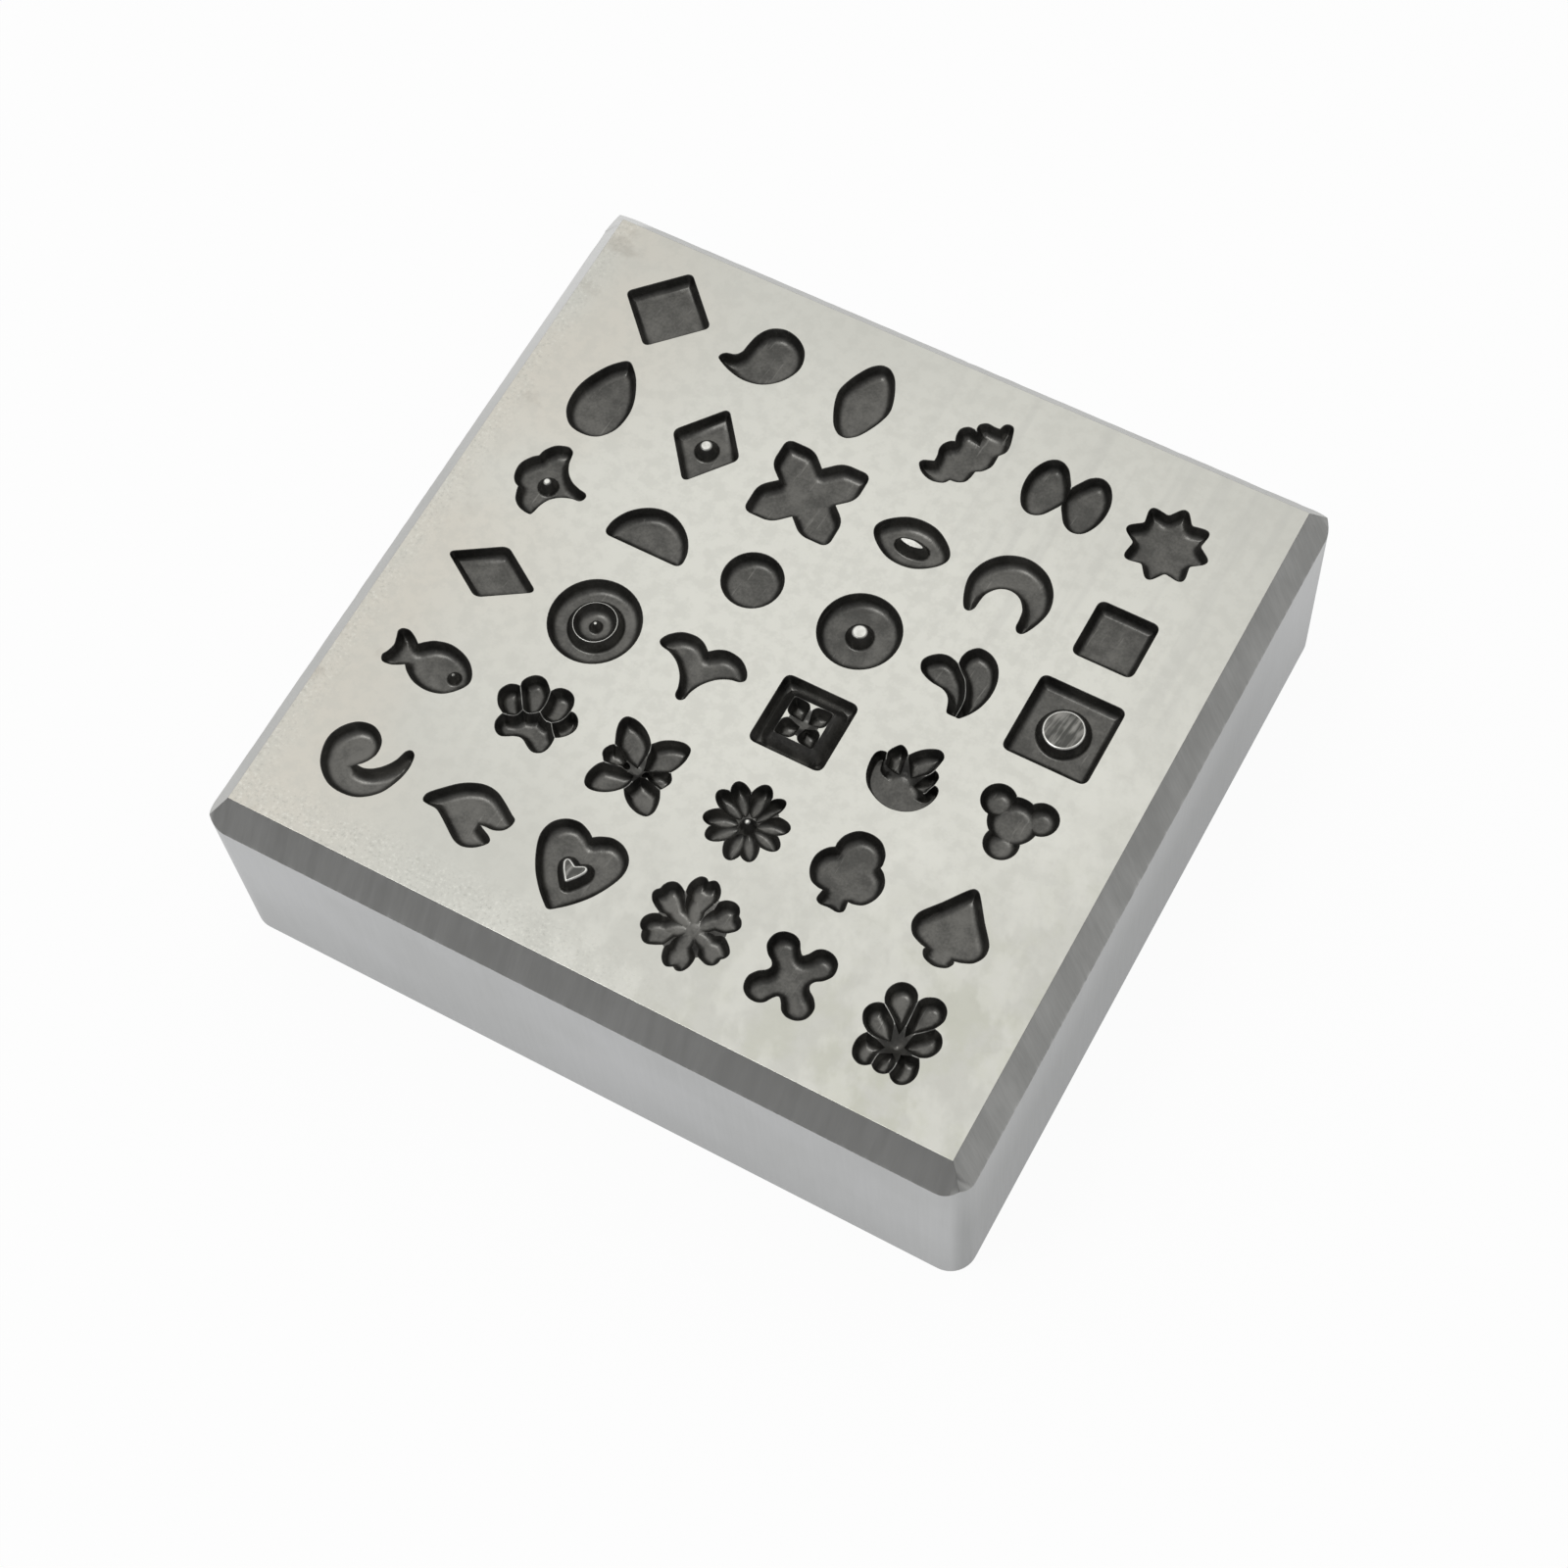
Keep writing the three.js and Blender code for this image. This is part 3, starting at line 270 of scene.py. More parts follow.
# Shares of the figures, by whose reach they are multiplied. Edges are listed anticlockwise, each point by its
# two places and a corner with how far its rounding cuts back too
ALMOND_SHARES = [(1, 0), (0.93, 0.24), (0.76, 0.52), (0.5, 0.81), (0.22, 0.965), (0, 1)]
LID_SHARES = [(1, 0), (0.945, 0.3), (0.79, 0.545), (0.525, 0.79), (0.26, 0.945), (0, 1)]
CELL_CORNER_EASE_SHARE = 0.025
STAR_POINTS = 8
STAR_VALLEY_SHARE = 0.68
STAR_TIP_EASE_SHARE = 0.22
STAR_VALLEY_EASE_SHARE = 0.06
CROSS_SHARES = [
    (0.66, 0, 0.02), (1, 0.3, 0.2), (1, 0.97, 0.2), (0.35, 0.97, 0.2), (0, 0.64, 0.02),
]
COMMA_SHARES = [
    (-0.96, -0.6), (-0.55, -0.79), (-0.1, -0.87), (0.35, -0.78), (0.72, -0.5), (0.94, -0.12), (0.97, 0.22),
    (0.82, 0.58), (0.5, 0.83), (0.1, 0.91), (-0.25, 0.76), (-0.45, 0.45), (-0.52, 0.1), (-0.55, -0.14),
    (-0.67, -0.3), (-0.9, -0.37), (-1, -0.48),
]
OAK_LEAF_SHARES = [
    (-0.76, -0.74), (-0.6, -0.91), (-0.35, -0.99), (-0.1, -0.93), (0, -0.8, 0.02), (0.15, -0.785),
    (0.3, -0.7), (0.36, -0.55), (0.38, -0.38, 0.02), (0.52, -0.29), (0.63, -0.12), (0.645, 0.05),
    (0.64, 0.19, 0.02), (0.74, 0.33), (0.75, 0.5), (0.69, 0.75), (0.62, 0.94), (0.52, 0.985),
    (0.42, 0.93), (0.375, 0.79, 0.02), (0.25, 0.79), (0.08, 0.8), (-0.05, 0.71), (-0.07, 0.6),
    (-0.03, 0.52, 0.01), (-0.12, 0.545), (-0.25, 0.535), (-0.37, 0.42), (-0.38, 0.25), (-0.33, 0.09, 0.01),
    (-0.43, 0.05), (-0.53, -0.08), (-0.55, -0.22), (-0.51, -0.38), (-0.5, -0.54, 0.01), (-0.62, -0.585),
    (-0.73, -0.64),
]
BOW_LOOP_SHARES = [
    (-0.07, -0.02), (0, -0.24), (0.1, -0.42), (0.28, -0.67), (0.52, -0.77), (0.76, -0.67), (0.93, -0.36),
    (0.985, 0), (0.93, 0.34), (0.76, 0.63), (0.52, 0.745), (0.28, 0.64), (0.11, 0.4), (0, 0.2),
]
DROP_SHARES = [
    (0, -0.985), (0.34, -0.9), (0.58, -0.6), (0.645, -0.2), (0.58, 0.18), (0.38, 0.6), (0.17, 0.86),
    (0, 0.97),
]
CRESCENT_SHARES = [
    (0, 0.15), (0.26, 0.07), (0.45, -0.16), (0.5, -0.4), (0.515, -0.6), (0.6, -0.71), (0.72, -0.685),
    (0.84, -0.48), (0.95, -0.15), (0.97, 0.15), (0.86, 0.5), (0.62, 0.8), (0.32, 0.97), (0, 1.03),
]
TRUMPET_SHARES = [
    (0.93, -0.03), (0.88, 0.07), (0.7, 0.11), (0.45, 0.2), (0.25, 0.37), (0.12, 0.6), (0.06, 0.87),
    (-0.02, 0.96), (-0.15, 0.985), (-0.4, 0.88), (-0.57, 0.66), (-0.61, 0.48, 0.01), (-0.74, 0.37),
    (-0.87, 0.16), (-0.9, -0.02), (-0.85, -0.25), (-0.73, -0.4), (-0.62, -0.45, 0.01), (-0.58, -0.6),
    (-0.48, -0.8), (-0.28, -0.94), (-0.02, -0.98), (0.045, -0.9), (0.09, -0.68), (0.2, -0.45),
    (0.4, -0.28), (0.65, -0.18), (0.86, -0.15),
]
TRUMPET_PIN_SHARES = (-0.1, -0.03)
HALF_MOON_SHARES = [
    (0.985, -0.56, 0.18), (0.955, -0.2), (0.8, 0.12), (0.56, 0.36), (0.28, 0.51), (0, 0.56),
]
PAISLEY_CORNER_SHARES = {"a": (-0.127, 0.36), "b": (0.487, -1), "o": (0.367, -0.2)}
PAISLEY_LINE_SHARES = {
    "ab": [
        (-0.267, 0.417), (-0.45, 0.45), (-0.65, 0.4), (-0.833, 0.267), (-0.95, 0.1), (-0.96, -0.05),
        (-0.867, -0.223), (-0.7, -0.333), (-0.467, -0.41), (-0.2, -0.44), (-0.033, -0.507), (0.09, -0.627),
        (0.167, -0.8), (0.217, -0.95), (0.283, -1),
    ],
    "ba": [
        (0.583, -0.993), (0.673, -0.9), (0.807, -0.717), (0.923, -0.467), (0.993, -0.167), (1, 0.133),
        (0.94, 0.433), (0.807, 0.7), (0.633, 0.873), (0.433, 0.973), (0.2, 1), (0.05, 0.933),
        (-0.083, 0.777), (-0.143, 0.6), (-0.143, 0.467),
    ],
    "ao": [(0.04, 0.2), (0.227, 0.033)],
    "ob": [(0.46, -0.433), (0.49, -0.7)],
}
PAISLEY_CELLS = ["abo", "bao"]
TAIL_SHARES = [
    (0, -0.71), (0.1, -0.64), (0.135, -0.45), (0.25, -0.2), (0.45, 0.02), (0.68, 0.15), (0.9, 0.2),
    (0.985, 0.3), (0.9, 0.48), (0.68, 0.65), (0.4, 0.7), (0.18, 0.64), (0, 0.5, 0.01),
]
PANEL_HALF_SHARE = 0.54
PANEL_EASE_SHARE = 0.04
PANEL_DISH_SHARES = (0, 0, 0.4, 0.1)
PANEL_DARK_SHARE = 0.32
PANEL_CORNER_SHARE = 0.34
PANEL_PETAL_TURNS = [-45, 45, 135, 225]
PANEL_PETAL_SHARES = [
    (0, 0.03), (0.115, 0.14), (0.22, 0.262), (0.262, 0.355), (0.255, 0.47), (0.15, 0.61), (0, 0.73),
]
WING_LEAF_CORNER_SHARES = {
    "a": (-0.679, 0.345), "b": (0.807, 0.069), "c": (0.631, 0.455), "d": (-0.169, 0.514),
    "o": (0.069, -0.15),
}
WING_LEAF_LINE_SHARES = {
    "ab": [
        (-0.741, 0.341), (-0.855, 0.303), (-0.938, 0.19), (-0.959, 0), (-0.924, -0.259), (-0.845, -0.49),
        (-0.69, -0.707), (-0.483, -0.855), (-0.241, -0.966), (0, -1.017), (0.207, -1.01), (0.448, -0.948),
        (0.672, -0.82), (0.845, -0.638), (0.959, -0.431), (1.007, -0.207), (0.983, -0.034), (0.903, 0.052),
    ],
    "bc": [(0.821, 0.172), (0.817, 0.3), (0.741, 0.403)],
    "cd": [
        (0.672, 0.69), (0.679, 0.845), (0.61, 0.955), (0.483, 1.007), (0.31, 0.959), (0.103, 0.834),
        (-0.052, 0.679),
    ],
    "da": [(-0.234, 0.603), (-0.345, 0.679), (-0.448, 0.697), (-0.524, 0.638), (-0.628, 0.49)],
    "ao": [(-0.621, 0.172), (-0.517, -0.034)],
    "bo": [(0.741, -0.103), (0.638, -0.259)],
    "co": [(0.552, 0.276), (0.397, 0.121)],
    "do": [(-0.121, 0.345), (-0.062, 0.172)],
}
WING_LEAF_CELLS = ["abo", "bco", "cdo", "dao"]
WING_LEAF_BODY_SHARES = (-0.034, -0.379, 0.724, 0.5)
WING_LEAF_DISH_SHARES = (-0.04, -0.2, 0.68, 0.22)
TREFOIL_TURNS = [30, 150, 270]
TREFOIL_DISTANCE_SHARE = 0.6
TREFOIL_LOBE_SHARES = (0.4, 0.4)
TREFOIL_BODY_SHARES = (0, 0, 0.58, 0.58)
FISH_SHARES = [
    (0.985, 0), (0.87, 0.26), (0.6, 0.47), (0.22, 0.565), (-0.12, 0.5), (-0.32, 0.37), (-0.43, 0.265, 0.02),
    (-0.56, 0.365), (-0.74, 0.455), (-0.89, 0.44), (-0.955, 0.35), (-0.905, 0.2), (-0.86, 0.03),
    (-0.9, -0.15), (-0.955, -0.28), (-0.88, -0.395), (-0.7, -0.39), (-0.54, -0.32), (-0.42, -0.245, 0.02),
    (-0.28, -0.385), (-0.03, -0.52), (0.3, -0.56), (0.62, -0.475), (0.87, -0.25),
]
FISH_EYE_SHARES = (0.56, 0.02)
PAW_CORNER_SHARES = {
    "a": (-0.629, 0.429), "b": (0.035, 0.618), "c": (0.679, 0.391), "d": (0.703, -0.329),
    "e": (-0.632, -0.329), "f": (-0.274, -0.05), "g": (0.082, 0.076), "h": (0.441, -0.044),
}
PAW_LINE_SHARES = {
    "ae": [
        (-0.735, 0.418), (-0.868, 0.353), (-0.956, 0.22), (-0.976, 0.074), (-0.912, -0.088), (-0.794, -0.23),
    ],
    "ba": [
        (-0.074, 0.726), (-0.191, 0.812), (-0.324, 0.844), (-0.47, 0.8), (-0.588, 0.685), (-0.647, 0.55),
    ],
    "cb": [(0.668, 0.544), (0.597, 0.7), (0.485, 0.788), (0.353, 0.818), (0.206, 0.794), (0.103, 0.72)],
    "dc": [
        (0.809, -0.265), (0.926, -0.147), (1, 0), (1.006, 0.132), (0.941, 0.28), (0.838, 0.373),
        (0.75, 0.403),
    ],
    "ed": [
        (-0.668, -0.47), (-0.662, -0.603), (-0.588, -0.735), (-0.485, -0.812), (-0.368, -0.832),
        (-0.235, -0.774), (-0.118, -0.706), (0.015, -0.668), (0.132, -0.697), (0.265, -0.78),
        (0.397, -0.841), (0.515, -0.838), (0.638, -0.765), (0.706, -0.632), (0.72, -0.47),
    ],
    "af": [(-0.47, 0.215), (-0.353, 0.05)],
    "bg": [(0.085, 0.412), (0.1, 0.235)],
    "ch": [(0.644, 0.2), (0.572, 0.062)],
    "ef": [(-0.47, -0.303), (-0.329, -0.226)],
    "fg": [(-0.147, -0.076), (-0.029, -0.024)],
    "gh": [(0.212, -0.015), (0.324, -0.053)],
    "hd": [(0.568, -0.2)],
}
PAW_CELLS = ["aef", "bafg", "cbgh", "dch", "edhgf"]
BUTTERFLY_CORNER_SHARES = {
    "a": (0.039, 0.621), "b": (-0.691, 0.248), "c": (-0.691, -0.248), "d": (0.039, -0.621),
    "e": (0.788, -0.279), "f": (0.788, 0.206), "o": (0.097, -0.097),
}
BUTTERFLY_LINE_SHARES = {
    "ab": [
        (-0.091, 0.764), (-0.273, 0.894), (-0.455, 0.97), (-0.636, 1), (-0.788, 0.97), (-0.864, 0.864),
        (-0.867, 0.697), (-0.803, 0.485),
    ],
    "bc": [(-0.788, 0.152), (-0.827, 0.015), (-0.788, -0.127)],
    "cd": [
        (-0.788, -0.364), (-0.855, -0.545), (-0.87, -0.727), (-0.809, -0.9), (-0.667, -0.982),
        (-0.485, -0.97), (-0.288, -0.897), (-0.106, -0.773),
    ],
    "de": [
        (0.167, -0.788), (0.333, -0.915), (0.515, -0.991), (0.697, -1.015), (0.848, -0.976), (0.93, -0.848),
        (0.939, -0.697), (0.894, -0.485),
    ],
    "ef": [(0.864, -0.152), (0.888, -0.03), (0.864, 0.097)],
    "fa": [
        (0.87, 0.364), (0.93, 0.576), (0.933, 0.788), (0.879, 0.924), (0.727, 0.982), (0.545, 0.96),
        (0.364, 0.894), (0.197, 0.788),
    ],
    "ao": [(0.1, 0.424), (0.115, 0.182)],
    "bo": [(-0.515, 0.152), (-0.333, 0.036), (-0.152, -0.036)],
    "co": [(-0.515, -0.218), (-0.333, -0.182), (-0.152, -0.152)],
    "do": [(0.103, -0.485), (0.121, -0.303)],
    "eo": [(0.621, -0.227), (0.455, -0.182), (0.273, -0.145)],
    "fo": [(0.621, 0.112), (0.455, 0.024), (0.273, -0.036)],
}
BUTTERFLY_CELLS = ["abo", "bco", "cdo", "deo", "efo", "fao"]
BUTTERFLY_SPOT_SHARES = [
    (-0.53, 0, 0.3, 0.228), (0.606, -0.015, 0.29, 0.228), (-0.2, -0.09, 0.1, 0.09), (0.28, -0.09, 0.1, 0.09),
]
BUTTERFLY_DISH_SHARES = (0.05, -0.05, 0.36, 0.08)
DAISY_PETAL_SHARES = [
    (90, 0.98, 0.255), (57, 0.97, 0.2), (15.5, 0.985, 0.24), (-17.5, 1, 0.24), (-58, 1.005, 0.245),
    (-86, 1.03, 0.252), (-130, 1, 0.252), (-159, 1, 0.24), (160, 1, 0.245), (132, 1, 0.245),
]
DAISY_LONG_SHARE = 0.45
DAISY_DISH_SHARES = (0, 0, 0.72, 0.1)
CLUB_SHARES = [
    (0, -0.97), (0.2, -0.985), (0.31, -0.93), (0.33, -0.84), (0.3, -0.66, 0.02), (0.45, -0.655),
    (0.65, -0.57), (0.8, -0.35), (0.845, -0.1), (0.8, 0.1), (0.68, 0.27), (0.55, 0.36, 0.01),
    (0.555, 0.5), (0.48, 0.72), (0.28, 0.92), (0, 0.985),
]
SPADE_SHARES = [
    (0, -0.99), (0.25, -0.92), (0.35, -0.78), (0.33, -0.7, 0.01), (0.5, -0.66), (0.72, -0.55),
    (0.85, -0.35), (0.86, -0.15), (0.78, 0.03), (0.5, 0.38), (0.2, 0.8), (0.08, 0.94), (0, 0.97),
]
HOOK_SHARES = [
    (0, -0.84), (0.4, -0.75), (0.75, -0.45), (0.93, -0.05), (0.99, 0.3), (0.95, 0.6), (0.87, 0.7),
    (0.78, 0.7), (0.71, 0.6), (0.65, 0.37), (0.5, 0.13), (0.3, -0.05), (0.1, -0.13), (-0.07, -0.12, 0.01),
    (0.02, -0.03), (0.12, 0.12), (0.18, 0.32), (0.13, 0.58), (-0.05, 0.77), (-0.3, 0.85), (-0.6, 0.77),
    (-0.85, 0.52), (-0.97, 0.2), (-0.93, -0.15), (-0.75, -0.5), (-0.4, -0.77),
]
NOTCHED_LEAF_SHARES = [
    (-0.97, -0.1), (-0.93, -0.19), (-0.8, -0.21), (-0.6, -0.22), (-0.4, -0.33), (-0.15, -0.5), (0.1, -0.66),
    (0.32, -0.7), (0.55, -0.61), (0.72, -0.45), (0.76, -0.35), (0.68, -0.26), (0.5, -0.18),
    (0.39, -0.12, 0.02), (0.5, -0.1), (0.7, -0.09), (0.88, 0), (0.97, 0.15), (0.97, 0.3), (0.85, 0.38),
    (0.6, 0.54), (0.35, 0.67), (0.1, 0.71), (-0.15, 0.66), (-0.45, 0.5), (-0.75, 0.22), (-0.93, 0.02),
]
HEART_SHARES = [
    (0, -1, 0.1), (0.35, -0.7), (0.65, -0.35), (0.87, 0.05), (0.97, 0.4), (0.9, 0.7), (0.68, 0.9),
    (0.4, 0.96), (0.15, 0.88), (0, 0.78, 0.01),
]
HEART_ISLAND_SHARES = [
    (0, -0.29, 0.04), (0.15, -0.11), (0.25, 0.06), (0.245, 0.15), (0.18, 0.18), (0.09, 0.14),
    (0, 0.09, 0.02),
]
COSMOS_CORNER_SHARES = {
    "a": (0.259, 0.648), "b": (-0.4, 0.541), "c": (-0.613, -0.067), "d": (-0.205, -0.6),
    "e": (0.443, -0.515), "f": (0.667, 0.107), "o": (0.053, 0.013),
}
COSMOS_LINE_SHARES = {
    "ab": [
        (0.248, 0.76), (0.208, 0.867), (0.133, 0.96), (0.04, 1.013), (-0.032, 1.003), (-0.107, 0.939, 0.01),
        (-0.16, 0.979), (-0.227, 0.987), (-0.307, 0.955), (-0.379, 0.853), (-0.419, 0.707),
    ],
    "bc": [
        (-0.533, 0.619), (-0.653, 0.645), (-0.773, 0.592), (-0.848, 0.485), (-0.867, 0.387, 0.01),
        (-0.933, 0.32), (-0.955, 0.227), (-0.893, 0.107), (-0.773, 0.013),
    ],
    "cd": [
        (-0.76, -0.147), (-0.848, -0.267), (-0.859, -0.387), (-0.813, -0.485), (-0.739, -0.539, 0.01),
        (-0.707, -0.64), (-0.627, -0.72), (-0.52, -0.741), (-0.373, -0.688),
    ],
    "de": [
        (-0.181, -0.733), (-0.133, -0.853), (-0.053, -0.939), (0.027, -0.971), (0.093, -0.955),
        (0.16, -0.915, 0.01), (0.227, -0.952), (0.293, -0.952), (0.373, -0.901), (0.432, -0.787),
        (0.453, -0.653),
    ],
    "ef": [
        (0.573, -0.56), (0.693, -0.592), (0.813, -0.555), (0.88, -0.467), (0.893, -0.368, 0.01),
        (0.96, -0.299), (0.987, -0.187), (0.92, -0.075), (0.8, 0.032),
    ],
    "fa": [
        (0.773, 0.181), (0.88, 0.288), (0.907, 0.4), (0.853, 0.512), (0.768, 0.573, 0.01), (0.736, 0.667),
        (0.667, 0.752), (0.541, 0.792), (0.387, 0.755),
    ],
}
COSMOS_CELLS = ["abo", "bco", "cdo", "deo", "efo", "fao"]
COSMOS_DISH_SHARES = (0.053, 0.013, 0.7, 0.12)
COSMOS_RUN_SHARES = (0.33, 0.42, 0.25)
COSMOS_RUN_TURNS = [112, 45, -21, -90, -151, 164]
BONE_CROSS_SHARES = [
    (0.53, 0), (0.6, 0.14), (0.78, 0.27), (0.92, 0.5), (0.88, 0.78), (0.7, 0.95), (0.45, 0.99), (0.25, 0.9),
    (0.12, 0.7), (0, 0.6),
]
SEVEN_PETALS_CORNER_SHARES = {
    "a": (0.017, 0.729), "b": (-0.557, 0.386), "c": (-0.577, -0.314), "d": (-0.177, -0.894),
    "e": (0.22, -0.894), "f": (0.614, -0.329), "g": (0.6, 0.371), "o": (0.051, -0.271),
}
SEVEN_PETALS_LINE_SHARES = {
    "ab": [
        (-0.051, 0.871), (-0.171, 0.966), (-0.329, 0.994), (-0.486, 0.943), (-0.6, 0.82), (-0.649, 0.657),
        (-0.62, 0.5),
    ],
    "bc": [(-0.686, 0.349), (-0.8, 0.249), (-0.857, 0.1), (-0.834, -0.043), (-0.734, -0.2)],
    "cd": [
        (-0.657, -0.429), (-0.7, -0.586), (-0.677, -0.771), (-0.586, -0.923), (-0.429, -1), (-0.286, -0.977),
    ],
    "de": [(-0.094, -0.963), (0.02, -0.991), (0.134, -0.963)],
    "ef": [
        (0.314, -0.989), (0.457, -1.034), (0.606, -0.977), (0.706, -0.849), (0.743, -0.686), (0.706, -0.5),
    ],
    "fg": [(0.763, -0.249), (0.863, -0.114), (0.9, 0.043), (0.863, 0.191), (0.763, 0.314)],
    "ga": [
        (0.663, 0.5), (0.691, 0.629), (0.649, 0.8), (0.534, 0.929), (0.371, 0.977), (0.229, 0.943),
        (0.094, 0.857),
    ],
    "ao": [(0.04, 0.429), (0.057, 0.086)],
    "bo": [(-0.371, 0.257), (-0.171, 0.086)],
    "co": [(-0.371, -0.349), (-0.143, -0.329)],
    "do": [(-0.171, -0.686), (-0.12, -0.529)],
    "eo": [(0.257, -0.714), (0.214, -0.529)],
    "fo": [(0.4, -0.343), (0.214, -0.314)],
    "go": [(0.429, 0.2), (0.243, 0.029)],
}
SEVEN_PETALS_CELLS = ["abo", "bco", "cdo", "deo", "efo", "fgo", "gao"]
SEVEN_PETALS_DISH_SHARES = (0.051, -0.271, 0.42, 0.02)


# Tracing of edges


def spline_point(a, b, c, d, t):
    """The point that lies a share t along the smooth curve from b to c, which a and d steer."""
    squared = (2 * a - 5 * b + 4 * c - d) * (t * t)
    cubed = (3 * b - a - 3 * c + d) * (t * t * t)
    return 0.5 * (2 * b + (c - a) * t + squared + cubed)


def trimmed_start(run, length):
    """A run of points shortened by a length at its start."""
    left = length
    for i in range(1, len(run)):
        step = (run[i] - run[i - 1]).length
        if step > left:
            return [run[i - 1].lerp(run[i], left / step)] + run[i:]
        left -= step
    return [run[-1]]


def traced_edge(shares, reach):
    """An edge from points in shares of a reach. Two numbers make a point on a smooth curve, and three a
    corner, of which the third says how far its rounding cuts back."""
    knots = [Vector(row[:2]) * reach for row in shares]
    corner = [len(row) == 3 for row in shares]
    cut_back = [row[2] * reach if len(row) == 3 else 0 for row in shares]
    count = len(knots)
    runs = []
    for i, knot in enumerate(knots):
        after = (i + 1) % count
        if corner[i] and corner[after]:
            runs.append([knot, knots[after]])
            continue
        before = knot if corner[i] else knots[i - 1]
        beyond = knots[after] if corner[after] else knots[(i + 2) % count]
        steps = [k / tracing_steps for k in range(tracing_steps + 1)]
        runs.append([spline_point(before, knot, knots[after], beyond, t) for t in steps])
    edge = []
    for i, run in enumerate(runs):
        after = (i + 1) % count
        kept = trimmed_start(run, cut_back[i])
        kept = trimmed_start(kept[::-1], cut_back[after])[::-1]
        edge += kept
        if cut_back[after] > 0:
            onward = trimmed_start(runs[after], cut_back[after])[0]
            for k in range(tracing_steps + 1):
                t = k / tracing_steps
                first, second = kept[-1].lerp(knots[after], t), knots[after].lerp(onward, t)
                edge.append(first.lerp(second, t))
    return thinned(edge)


def thinned(edge):
    """An edge with only the points that keep every side within the chord sag of the curve."""
    keep = set()

    def visit(start, end):
        a, b = edge[start], edge[end % len(edge)]
        worst, split = chord_sag, 0
        for i in range(start + 1, end):
            along = b - a
            share = (edge[i] - a).dot(along) / along.length_squared if along.length_squared else 0
            stray = (edge[i] - a - along * min(1, max(0, share))).length
            if stray > worst:
                worst, split = stray, i
        if split:
            keep.add(split)
            visit(start, split)
            visit(split, end)

    farthest = max(range(len(edge)), key=lambda i: (edge[i] - edge[0]).length)
    keep |= {0, farthest}
    visit(0, farthest)
    visit(farthest, len(edge))
    return [edge[i] for i in sorted(keep)]


def mirrored(shares):
    return [(-row[0], *row[1:]) for row in shares][::-1]


def both_sides(half):
    """The right half of an edge, listed upwards, joined by its mirror image."""
    return half + mirrored([row for row in half if row[0] != 0])


def four_quarters(quarter):
    """One quarter of an edge, from the right to the top, turned into all four."""
    upper = both_sides(quarter)
    lower = [(row[0], -row[1], *row[2:]) for row in upper if row[1] != 0]
    return upper + lower[::-1]


def oval_edge(x, y, long, wide, turn=0, reach=1):
    """An oval by its centre, half length, half width and the turn of its long side in degrees."""
    rounds = max(fewest_sides, math.pi / math.acos(1 - chord_sag / (wide * reach)))
    steps = math.ceil(rounds * math.sqrt(long / wide))
    turned = Matrix.Rotation(math.radians(turn), 2)
    edge = []
    for i in range(steps):
        angle = 2 * math.pi * i / steps
        point = Vector((long * math.cos(angle), wide * math.sin(angle)))
        edge.append((Vector((x, y)) + turned @ point) * reach)
    return edge


def ovals(table, reach):
    return [oval_edge(*row, reach=reach) for row in table]


def circle_edge(radius, at=(0, 0)):
    return [point + Vector(at) for point in oval_edge(0, 0, 1, 1, reach=radius)]


def corners_edge(corners, ease):
    """A four-cornered edge with its corners cut back and rounded."""
    return traced_edge([(x, y, ease) for x, y in corners], 1)


def square_edge(half, ease):
    return corners_edge([(half, -half), (half, half), (-half, half), (-half, -half)], ease)


def rhomb_edge(half_width, half_height, ease):
    return corners_edge([(half_width, 0), (0, half_height), (-half_width, 0), (0, -half_height)], ease)


def almond_edge(half_width, half_height, shares=ALMOND_SHARES):
    """An upright almond: two round sides that meet in eased points."""
    quarter = [(x * half_width, y * half_height) for x, y in shares]
    return traced_edge(four_quarters(quarter), 1)


def quarter_turned(edge):
    return [Vector((-point.y, point.x)) for point in edge]


def cell_edges(corners, lines, cells, reach):
    """The cells of a figure that ridges part. Its lines run between corners that have a letter each, and a
    cell is named by the letters round it, anticlockwise. A cell keeps half a ridge clear of its lines."""
    edges = []
    for cell in cells:
        shares = []
        for start, end in zip(cell, cell[1:] + cell[0]):
            shares.append((*corners[start], CELL_CORNER_EASE_SHARE))
            shares += lines.get(start + end) or lines.get(end + start, [])[::-1]
        edge = inset_edge(traced_edge(shares, reach), ridge_half_width)
        edges.append([point for i, point in enumerate(edge) if point is not edge[i - 1]])
    return edges


def inset_edge(edge, inset):
    """Sides moved inwards by one distance. A side that shrinks to nothing closes up at the corner where its
    neighbours meet, so the list keeps its length. None when the whole shape closes up."""
    count = len(edge)
    starts, along = [], []
    for start, end in zip(edge, edge[1:] + edge[:1]):
        way = (end - start).normalized()
        along.append(way)
        starts.append(start + Vector((-way.y, way.x)) * inset)

    def meeting(a, b):
        turn = along[a].cross(along[b])
        if abs(turn) < merge_distance:
            return starts[b]
        return starts[a] + along[a] * ((starts[b] - starts[a]).cross(along[b]) / turn)

    live = list(range(count))
    corners = [meeting(live[k - 1], live[k]) for k in range(count)]

    def length(k):
        return (corners[(k + 1) % len(live)] - corners[k]).dot(along[live[k]])

    lengths = [length(k) for k in range(count)]
    while min(lengths) <= 0:
        k = lengths.index(min(lengths))
        del live[k], corners[k], lengths[k]
        if len(live) < 3:
            return None
        k %= len(live)
        corners[k] = meeting(live[k - 1], live[k])
        for near in (k - 1, k):
            lengths[near] = length(near % len(live))
    closed = []
    k = 0
    for i in range(count):
        while k < len(live) and live[k] < i:
            k += 1
        closed.append(corners[k % len(live)])
    return closed


